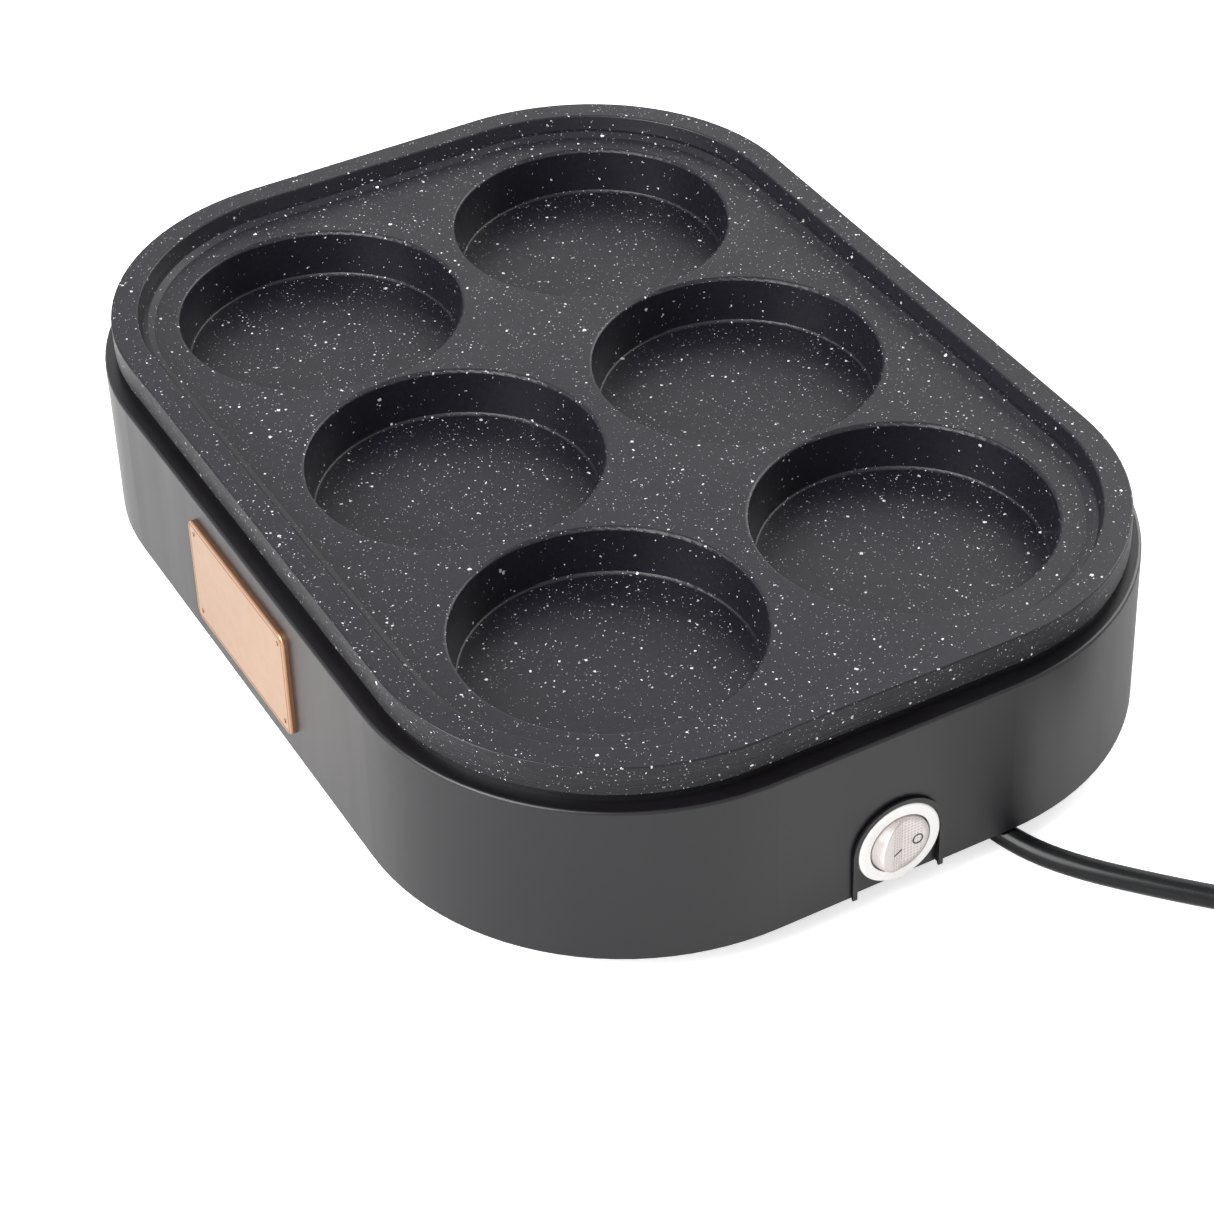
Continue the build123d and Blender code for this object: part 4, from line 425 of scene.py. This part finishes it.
def coated_plate():
    """Non-stick coating sprayed on die-cast aluminium: near-black satin with sprayed mineral flecks.

    The flecks are thickest on what faces up and on the outer edge, and fewer on steep faces such as the
    walls of the wells. The outer edge was turned after casting, so fine lines run round it.
    """
    material, tree, shader = finish(
        "sprayed_flecked_nonstick_on_cast_aluminium", "#161619", 0.4, Specular_IOR_Level=0.36,
    )
    where = add(tree, "ShaderNodeTexCoord", {}, {}).outputs["Object"]
    centred = add(tree, "ShaderNodeVectorMath", {"operation": "SUBTRACT"}, {
        0: where, 1: housing_middle,
    })
    wobble = add(tree, "ShaderNodeTexNoise", {}, {
        "Vector": where, "Scale": 1 / (FLECK_WOBBLE * MM), "Detail": 2.0,
    })
    ragged = add(tree, "ShaderNodeVectorMath", {"operation": "MULTIPLY_ADD"}, {
        0: wobble.outputs["Color"], 1: (FLECK_RAGGED * MM,) * 3, 2: where,
    })
    # Distance past the corner arcs' centres, seen from above, which is the corner radius on the outer edge.
    # Height adds nothing to it, since the whole plate is less than a metre up
    plate_low, plate_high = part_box("cooking_plate")
    arc_centre = (plate_high - plate_low) / 2 - Vector((1, 1, 0)) * PLATE_CORNER_RADIUS * MM
    folded = add(tree, "ShaderNodeVectorMath", {"operation": "ABSOLUTE"}, {
        0: centred.outputs["Vector"],
    })
    past = add(tree, "ShaderNodeVectorMath", {"operation": "SUBTRACT"}, {
        0: folded.outputs["Vector"], 1: (*arc_centre.xy, 1.0),
    })
    past = add(tree, "ShaderNodeVectorMath", {"operation": "MAXIMUM"}, {
        0: past.outputs["Vector"], 1: (0, 0, 0),
    })
    reach = add(tree, "ShaderNodeVectorMath", {"operation": "LENGTH"}, {0: past.outputs["Vector"]})
    edge = add(tree, "ShaderNodeMapRange", {}, {
        "Value": reach.outputs["Value"],
        "From Min": (PLATE_CORNER_RADIUS - EDGE_BLEND[0]) * MM,
        "From Max": (PLATE_CORNER_RADIUS - EDGE_BLEND[1]) * MM,
    }).outputs["Result"]
    normal = add(tree, "ShaderNodeNewGeometry", {}, {}).outputs["Normal"]
    facing = add(tree, "ShaderNodeSeparateXYZ", {}, {"Vector": normal})
    upward = add(tree, "ShaderNodeMapRange", {}, {
        "Value": facing.outputs["Z"], "From Min": 0.2, "From Max": 0.7,
        "To Min": FLECKS_ON_WALLS, "To Max": 1.0,
    })
    crowded = add(tree, "ShaderNodeMath", {"operation": "MULTIPLY"}, {0: edge, 1: EDGE_CROWDING})
    density = add(tree, "ShaderNodeMath", {"operation": "MAXIMUM"}, {
        0: upward.outputs["Result"], 1: crowded.outputs[0],
    })
    cloud = add(tree, "ShaderNodeTexNoise", {}, {
        "Vector": where, "Scale": 1 / (COATING_CLOUD * MM), "Detail": 5.0,
    })
    base = add(tree, "ShaderNodeMix", {"data_type": "RGBA"}, {
        0: cloud.outputs["Fac"], 6: linear("#0B0A10"), 7: linear("#1B1922"),
    })
    rings = add(tree, "ShaderNodeVectorMath", {"operation": "MULTIPLY"}, {
        0: where, 1: (1 / (TURNING_RUN * MM), 1 / (TURNING_RUN * MM), 1 / (TURNING_LINE * MM)),
    })
    lines = add(tree, "ShaderNodeTexNoise", {}, {
        "Vector": rings.outputs["Vector"], "Scale": 1.0, "Detail": 3.0,
    })
    streak = add(tree, "ShaderNodeMapRange", {}, {
        "Value": lines.outputs["Fac"],
        "From Min": TURNING_CONTRAST[0], "From Max": TURNING_CONTRAST[1],
    })
    turned = add(tree, "ShaderNodeMix", {"data_type": "RGBA"}, {
        0: streak.outputs["Result"], 6: linear("#08080E"), 7: linear("#17151E"),
    })
    toned = add(tree, "ShaderNodeMix", {"data_type": "RGBA"}, {
        0: edge, 6: base.outputs[2], 7: turned.outputs[2],
    })
    colour = toned.outputs[2]
    for layer in FLECK_LAYERS:
        colour = fleck_layer(tree, ragged.outputs["Vector"], density.outputs[0], colour, layer)
    tree.links.new(colour, shader.inputs["Base Color"])
    vary(tree, shader, "Roughness", 18, 0.36, 0.44, where)
    sprayed = grain(tree, shader, 0.6, 0.035, where)
    ridge = add(tree, "ShaderNodeMath", {"operation": "MULTIPLY"}, {
        0: streak.outputs["Result"], 1: edge,
    })
    ridged = add(tree, "ShaderNodeBump", {}, {
        "Height": ridge.outputs[0], "Strength": 1.0, "Distance": TURNING_RIDGE * MM,
        "Normal": sprayed.outputs["Normal"],
    })
    tree.links.new(ridged.outputs["Normal"], shader.inputs["Normal"])
    return material


# Colour and roughness change this much more slowly up the wall than along it, which draws them into streaks
REFLECTION_AND_SHEEN_STREAK_SHARE = 0.12


def satin_housing():
    """Dark satin paint sprayed on moulded plastic: near black, with a soft sheen.

    Faint streaks run up the walls: painted reflections in the colour, and uneven sheen in the roughness.
    """
    material, tree, shader = finish(
        "sprayed_satin_paint_on_moulded_plastic", "#161517", 0.34, Specular_IOR_Level=0.45,
    )
    where = add(tree, "ShaderNodeTexCoord", {}, {}).outputs["Object"]
    stretched = add(tree, "ShaderNodeVectorMath", {"operation": "MULTIPLY"}, {
        0: where, 1: (1.0, 1.0, REFLECTION_AND_SHEEN_STREAK_SHARE),
    })
    # Painted reflection: darker and lighter streaks in the colour stand in for the studio reflected in the
    # walls
    vary(tree, shader, "Base Color", 14, "#0D0B0F", "#151317", stretched.outputs["Vector"])
    vary(tree, shader, "Roughness", 20, 0.30, 0.38, stretched.outputs["Vector"])
    grain(tree, shader, 0.35, 0.005)
    return material


# Pressed line of the badge, painted on as a dark line of shade: how far in its middle runs, and how far
# from there it starts to fade and ends
BADGE_LINE_INSET = 1.2
BADGE_LINE_HALF = 0.2
BADGE_LINE_FADE = 0.4
BADGE_MOTTLE = 0.5


def copper_badge():
    """Copper-toned anodised sheet, satin. A pressed line beside its rounded edge is painted on as shade,
    and the rounded edge has a painted reflection tint.
    """
    material, tree, shader = finish("pressed_anodised_copper_tone_aluminium", "#C8A48C", 0.4, 1.0)
    where = add(tree, "ShaderNodeTexCoord", {}, {}).outputs["Object"]
    badge_low, badge_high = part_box("badge")
    middle = (badge_low + badge_high) / 2
    half = (badge_high - badge_low) / 2
    centred = add(tree, "ShaderNodeVectorMath", {"operation": "SUBTRACT"}, {0: where, 1: middle})
    folded = add(tree, "ShaderNodeVectorMath", {"operation": "ABSOLUTE"}, {
        0: centred.outputs["Vector"],
    })
    gap = add(tree, "ShaderNodeVectorMath", {"operation": "SUBTRACT"}, {
        0: half, 1: folded.outputs["Vector"],
    })
    sides = add(tree, "ShaderNodeSeparateXYZ", {}, {"Vector": gap.outputs["Vector"]})
    inset = add(tree, "ShaderNodeMath", {"operation": "MINIMUM"}, {
        0: sides.outputs["Y"], 1: sides.outputs["Z"],
    })
    away = add(tree, "ShaderNodeMath", {"operation": "SUBTRACT"}, {
        0: inset.outputs[0], 1: BADGE_LINE_INSET * MM,
    })
    away = add(tree, "ShaderNodeMath", {"operation": "ABSOLUTE"}, {0: away.outputs[0]})
    line = add(tree, "ShaderNodeMapRange", {}, {
        "Value": away.outputs[0], "From Min": BADGE_LINE_HALF * MM, "From Max": BADGE_LINE_FADE * MM,
        "To Min": 1.0, "To Max": 0.0,
    })
    mottle = add(tree, "ShaderNodeTexNoise", {}, {
        "Vector": where, "Scale": 1 / (BADGE_MOTTLE * MM), "Detail": 3.0,
    })
    face = add(tree, "ShaderNodeMix", {"data_type": "RGBA"}, {
        0: mottle.outputs["Fac"], 6: linear("#B99981"), 7: linear("#C3A58E"),
    })
    # Painted shade: the pressed line is drawn as a dark colour, with no relief
    lined = add(tree, "ShaderNodeMix", {"data_type": "RGBA"}, {
        0: line.outputs["Result"], 6: face.outputs[2], 7: linear("#8E6345"),
    })
    # Painted reflection: the rounded edge, turned away from the face, is coloured more orange, standing in
    # for what its curve reflects
    facing = add(tree, "ShaderNodeNewGeometry", {}, {}).outputs["Normal"]
    outward = add(tree, "ShaderNodeSeparateXYZ", {}, {"Vector": facing})
    rounded = add(tree, "ShaderNodeMapRange", {}, {
        "Value": outward.outputs["X"], "From Min": -0.97, "From Max": -0.8,
        "To Min": 0.0, "To Max": 0.6,
    })
    lined = add(tree, "ShaderNodeMix", {"data_type": "RGBA"}, {
        0: rounded.outputs["Result"], 6: lined.outputs[2], 7: linear("#A8704A"),
    })
    tree.links.new(lined.outputs[2], shader.inputs["Base Color"])
    vary(tree, shader, "Roughness", 6, 0.36, 0.44, where)
    grain(tree, shader, 0.3, 0.006, where)
    return material


def moulded(name, colour, roughness, grain_mm=0.4, height_mm=0.01, **shader_values):
    """Plastic, rubber, glass, ceramic or paint, with the fine texture of its making and uneven sheen."""
    material, tree, shader = finish(name, colour, roughness, **shader_values)
    vary(tree, shader, "Roughness", 12, roughness - 0.05, roughness + 0.05)
    grain(tree, shader, grain_mm, height_mm)
    return material


def plated(name, low, high, roughness):
    """Plated or rolled metal: cloudy tone and a fine surface."""
    material, tree, shader = finish(name, low, roughness, 1.0)
    vary(tree, shader, "Base Color", 3, low, high)
    vary(tree, shader, "Roughness", 2, roughness - 0.08, roughness + 0.08)
    grain(tree, shader, 0.3, 0.004)
    return material


# Rocker: how far red, green and blue light go in, the pitch, height and grid line of its dots, the shares
# of the pitch between which a dot fades, the half width of the band that holds them, and the uneven rim of
# painted shade
LIGHT_REACH = (1.2, 1.0, 0.9)
DOT_PITCH = 0.95
DOT_HEIGHT = 0.05
DOT_GRID_X = 1.6
DOT_FADE_SHARES = (0.2, 0.42)
DOT_BAND_HALF = (4.9, 5.2)
PAINTED_RIM_SHADE = (7.4, 8.6)
RIM_CLOUD = 2.5
RIM_CLOUD_DEPTH = 1.6


def milky_rocker():
    """Milky polycarbonate moulded against polished steel, with a dot grid between its smooth ends.

    Light goes a little way in, which softens it. The real dots are about 0.3 mm apart, and are drawn
    coarser so that they still show. The rim is painted darker: painted shade, standing in for the dark seen
    through the clear wall.
    """
    material, tree, shader = finish(
        "polished_mould_milky_polycarbonate", "#E6DFDD", 0.22, Subsurface_Weight=0.2,
        Subsurface_Radius=Vector(LIGHT_REACH) * MM, Subsurface_Scale=1.0,
    )
    where = add(tree, "ShaderNodeTexCoord", {}, {}).outputs["Object"]
    centred = add(tree, "ShaderNodeVectorMath", {"operation": "SUBTRACT"}, {
        0: where, 1: place(DOT_GRID_X, 0, SWITCH_Z),
    })
    cell = add(tree, "ShaderNodeVectorMath", {"operation": "DIVIDE"}, {
        0: centred.outputs["Vector"], 1: (DOT_PITCH * MM,) * 3,
    })
    cell = add(tree, "ShaderNodeVectorMath", {"operation": "FRACTION"}, {0: cell.outputs["Vector"]})
    cell = add(tree, "ShaderNodeVectorMath", {"operation": "SUBTRACT"}, {
        0: cell.outputs["Vector"], 1: (0.5, 0.5, 0.5),
    })
    cell = add(tree, "ShaderNodeVectorMath", {"operation": "MULTIPLY"}, {
        0: cell.outputs["Vector"], 1: (1, 0, 1),
    })
    spread = add(tree, "ShaderNodeVectorMath", {"operation": "LENGTH"}, {0: cell.outputs["Vector"]})
    dot = add(tree, "ShaderNodeMapRange", {}, {
        "Value": spread.outputs["Value"],
        "From Min": DOT_FADE_SHARES[0], "From Max": DOT_FADE_SHARES[1],
        "To Min": 1.0, "To Max": 0.0,
    })
    sides = add(tree, "ShaderNodeSeparateXYZ", {}, {"Vector": centred.outputs["Vector"]})
    across = add(tree, "ShaderNodeMath", {"operation": "ABSOLUTE"}, {0: sides.outputs["X"]})
    band = add(tree, "ShaderNodeMapRange", {}, {
        "Value": across.outputs[0], "From Min": DOT_BAND_HALF[0] * MM, "From Max": DOT_BAND_HALF[1] * MM,
        "To Min": 1.0, "To Max": 0.0,
    })
    shown = add(tree, "ShaderNodeMath", {"operation": "MULTIPLY"}, {
        0: dot.outputs["Result"], 1: band.outputs["Result"],
    })
    toned = add(tree, "ShaderNodeMix", {"data_type": "RGBA"}, {
        0: shown.outputs[0], 6: linear("#E4DDDA"), 7: linear("#C6BCB9"),
    })
    flat = add(tree, "ShaderNodeVectorMath", {"operation": "SUBTRACT"}, {
        0: where, 1: place(0, 0, SWITCH_Z),
    })
    flat = add(tree, "ShaderNodeVectorMath", {"operation": "MULTIPLY"}, {
        0: flat.outputs["Vector"], 1: (1, 0, 1),
    })
    radius = add(tree, "ShaderNodeVectorMath", {"operation": "LENGTH"}, {0: flat.outputs["Vector"]})
    cloud = add(tree, "ShaderNodeTexNoise", {}, {
        "Vector": where, "Scale": 1 / (RIM_CLOUD * MM), "Detail": 2.0,
    })
    uneven = add(tree, "ShaderNodeMath", {"operation": "MULTIPLY_ADD"}, {
        0: cloud.outputs["Fac"], 1: RIM_CLOUD_DEPTH * MM, 2: radius.outputs["Value"],
    })
    # Painted shade: the rim turns grey, as if the dark inside showed through the clear wall
    clear = add(tree, "ShaderNodeMapRange", {}, {
        "Value": uneven.outputs[0], "From Min": PAINTED_RIM_SHADE[0] * MM, "From Max": PAINTED_RIM_SHADE[1] * MM,
        "To Min": 0.0, "To Max": 0.75,
    })
    toned = add(tree, "ShaderNodeMix", {"data_type": "RGBA"}, {
        0: clear.outputs["Result"], 6: toned.outputs[2], 7: linear("#A9A09D"),
    })
    tree.links.new(toned.outputs[2], shader.inputs["Base Color"])
    bump = add(tree, "ShaderNodeBump", {}, {
        "Height": shown.outputs[0], "Strength": 1.0, "Distance": DOT_HEIGHT * MM,
    })
    tree.links.new(bump.outputs["Normal"], shader.inputs["Normal"])
    return material


finishes = {
    "plate_coating": coated_plate(),
    "housing_plastic": satin_housing(),
    "badge_copper": copper_badge(),
    "rocker_plastic": milky_rocker(),
    # Moulded against polished steel, so even and softly shiny
    "white_plastic": moulded("polished_mould_white_polycarbonate", "#F0EEEC", 0.3, height_mm=0.004),
    # Moulded against eroded steel, so matt with a fine grain
    "black_plastic": moulded("eroded_mould_black_polypropylene", "#1B1B1D", 0.55),
    # Moulded soft over the plug's core, so matt with rounded light
    "plug_plastic": moulded("overmoulded_black_soft_pvc", "#1C1C1E", 0.5),
    # Pressed hot from powder, so a little brown and clouded
    "bakelite": moulded("hot_pressed_phenolic", "#2A211C", 0.45),
    # Cured in a blasted mould, so dull all over
    "rubber": moulded("cured_black_silicone_rubber", "#1A1A1B", 0.75),
    # Drawn through a die, so smooth with a narrow bright line along it
    "cord_pvc": moulded(
        "extruded_black_pvc_sheath", "#0C0D0F", 0.28, height_mm=0.006, Specular_IOR_Level=0.3,
    ),
    # Drawn through a die too, but soft and chalky
    "lead_sleeve": moulded("extruded_silicone_sleeve", "#C8C4BC", 0.5),
    # Fired without glaze, so chalky
    "ceramic": moulded("fired_unglazed_steatite", "#E4DECF", 0.7),
    # Drawn from tube, so clear and smooth
    "lamp_glass": moulded("drawn_lamp_glass", "#E9B48C", 0.1),
    # Braided and varnished, so yellowish with a coarse surface
    "glass_fibre": moulded(
        "varnished_braided_glass_fibre", "#D8D0B4", 0.6, grain_mm=0.8, height_mm=0.06,
    ),
    # Drawn, then tinted by heat, so brownish and dull
    "sheath_steel": plated("heat_tinted_drawn_stainless", "#8C857A", "#A49C8E", 0.4),
    # Dipped in tin, so silvery with soft clouds
    "tinned_steel": plated("hot_tinned_steel_strip", "#B9B9B5", "#CDCDC9", 0.3),
    # Rolled with a zinc coat, so grey and dull
    "sheet_steel": plated("zinc_coated_rolled_sheet", "#A8AAAB", "#BEC0C1", 0.38),
    # Plated in a bath, so bluish and bright
    "zinc_steel": plated("bright_zinc_plated_steel", "#B4B7BA", "#C9CCCE", 0.3),
    # Turned and plated with nickel, so warm grey and nearly a mirror
    "pin_metal": plated("nickel_plated_turned_brass", "#C6C4BE", "#D4D2CC", 0.2),
    # Near-black pressed sheet, glossy at its lip: the black is painted shade, since the sheet shows only in
    # the shade under the plate
    "shield_coating": moulded("black_heat_shield_painted_shade", "#1A1A1C", 0.22),
}
slots = {row["node"]: row["material_slot"] for row in frame["record"]["subparts"]}
for name, node in nodes.items():
    node.data.materials.clear()
    node.data.materials.append(finishes[slots[name]])

cord_curve.materials.append(finishes["cord_pvc"])
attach(cord, "pan")
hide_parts("power_cord", "cord_coil", "cord_end")
round(cord_length(cord), 3)
cord_tie.data.materials.append(finishes["plug_plastic"])
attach(cord_tie, "pan")
# Pad-printed on the raised marks, so flat and dark grey
mark_ink = moulded("pad_printed_dark_ink", "#2A2526", 0.4)
for mark in (off_mark, on_mark):
    mark.data.materials.append(mark_ink)
    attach(mark, "rocker")

# Backdrop of white paper. It glows only where it is seen directly, which leaves a faint shadow on it
FLOOR_SIDE_M = 6
FLOOR_GLOW = 0.65
WHITE = (1, 1, 1, 1)
bpy.ops.object.select_all(action="DESELECT")
bpy.ops.mesh.primitive_plane_add(size=FLOOR_SIDE_M, location=(0, 0, 0))
floor = bpy.context.object
floor.name = "floor"
paper, paper_tree, paper_shader = finish("white_paper_backdrop", "#F2F2F2", 0.9)
path = add(paper_tree, "ShaderNodeLightPath", {}, {})
seen = add(paper_tree, "ShaderNodeMath", {"operation": "MAXIMUM"}, {
    0: path.outputs["Is Camera Ray"], 1: path.outputs["Is Transmission Ray"],
})
glow = add(paper_tree, "ShaderNodeMath", {"operation": "MULTIPLY"}, {0: seen.outputs[0], 1: FLOOR_GLOW})
emission = add(paper_tree, "ShaderNodeEmission", {}, {"Color": WHITE, "Strength": glow.outputs[0]})
both = add(paper_tree, "ShaderNodeAddShader", {}, {
    0: paper_shader.outputs["BSDF"], 1: emission.outputs[0],
})
output = next(node for node in paper_tree.nodes if node.type == "OUTPUT_MATERIAL")
paper_tree.links.new(both.outputs[0], output.inputs["Surface"])
floor.data.materials.append(paper)

# Sky of the studio. Seen directly it is white, and it lights the object at a little over half of that.
# Reflected, it dims towards the top, as in a studio lit from the sides
SKY_LIGHT = 0.55
SKY_TOP = 0.7
world = bpy.data.worlds.new("white_studio")
bpy.context.scene.world = world
world.use_nodes = True
sky_tree = world.node_tree
sky_tree.nodes.clear()
upward = add(sky_tree, "ShaderNodeSeparateXYZ", {}, {
    "Vector": add(sky_tree, "ShaderNodeTexCoord", {}, {}).outputs["Generated"],
})
reflected = add(sky_tree, "ShaderNodeMapRange", {}, {
    "Value": upward.outputs["Z"], "From Min": 0.3, "From Max": 0.9, "To Min": 1.0, "To Max": SKY_TOP,
})
path = add(sky_tree, "ShaderNodeLightPath", {}, {})
dim = add(sky_tree, "ShaderNodeMix", {"data_type": "FLOAT"}, {
    0: path.outputs["Is Glossy Ray"], 2: SKY_LIGHT, 3: reflected.outputs["Result"],
})
seen = add(sky_tree, "ShaderNodeMath", {"operation": "MAXIMUM"}, {
    0: path.outputs["Is Camera Ray"], 1: path.outputs["Is Transmission Ray"],
})
strength = add(sky_tree, "ShaderNodeMix", {"data_type": "FLOAT"}, {
    0: seen.outputs[0], 2: dim.outputs[0], 3: 1.0,
})
sky = add(sky_tree, "ShaderNodeBackground", {}, {"Color": WHITE, "Strength": strength.outputs[0]})
add(sky_tree, "ShaderNodeOutputWorld", {}, {"Surface": sky.outputs[0]})


def softbox(name, where, aim, size, power):
    """Square area lamp that faces a point. Places and size are in metres and the power in watts."""
    lamp_data = bpy.data.lights.new(name, "AREA")
    lamp_data.size = size
    lamp_data.energy = power
    lamp = bpy.data.objects.new(name, lamp_data)
    bpy.context.scene.collection.objects.link(lamp)
    lamp.location = where
    lamp.rotation_euler = (Vector(aim) - Vector(where)).to_track_quat("-Z", "Y").to_euler()


softbox("left_softbox", (-1.02, -0.12, 0.82), (-0.28, 0, 0), 1.0, 29)
softbox("back_softbox", (0.6, 1.0, 0.85), (0, 0, 0.05), 0.8, 1.2)
softbox("right_softbox", (0.95, 0.15, 0.6), (0, 0, 0.05), 0.8, 8.5)

bpy.context.scene.view_settings.view_transform = "Standard"
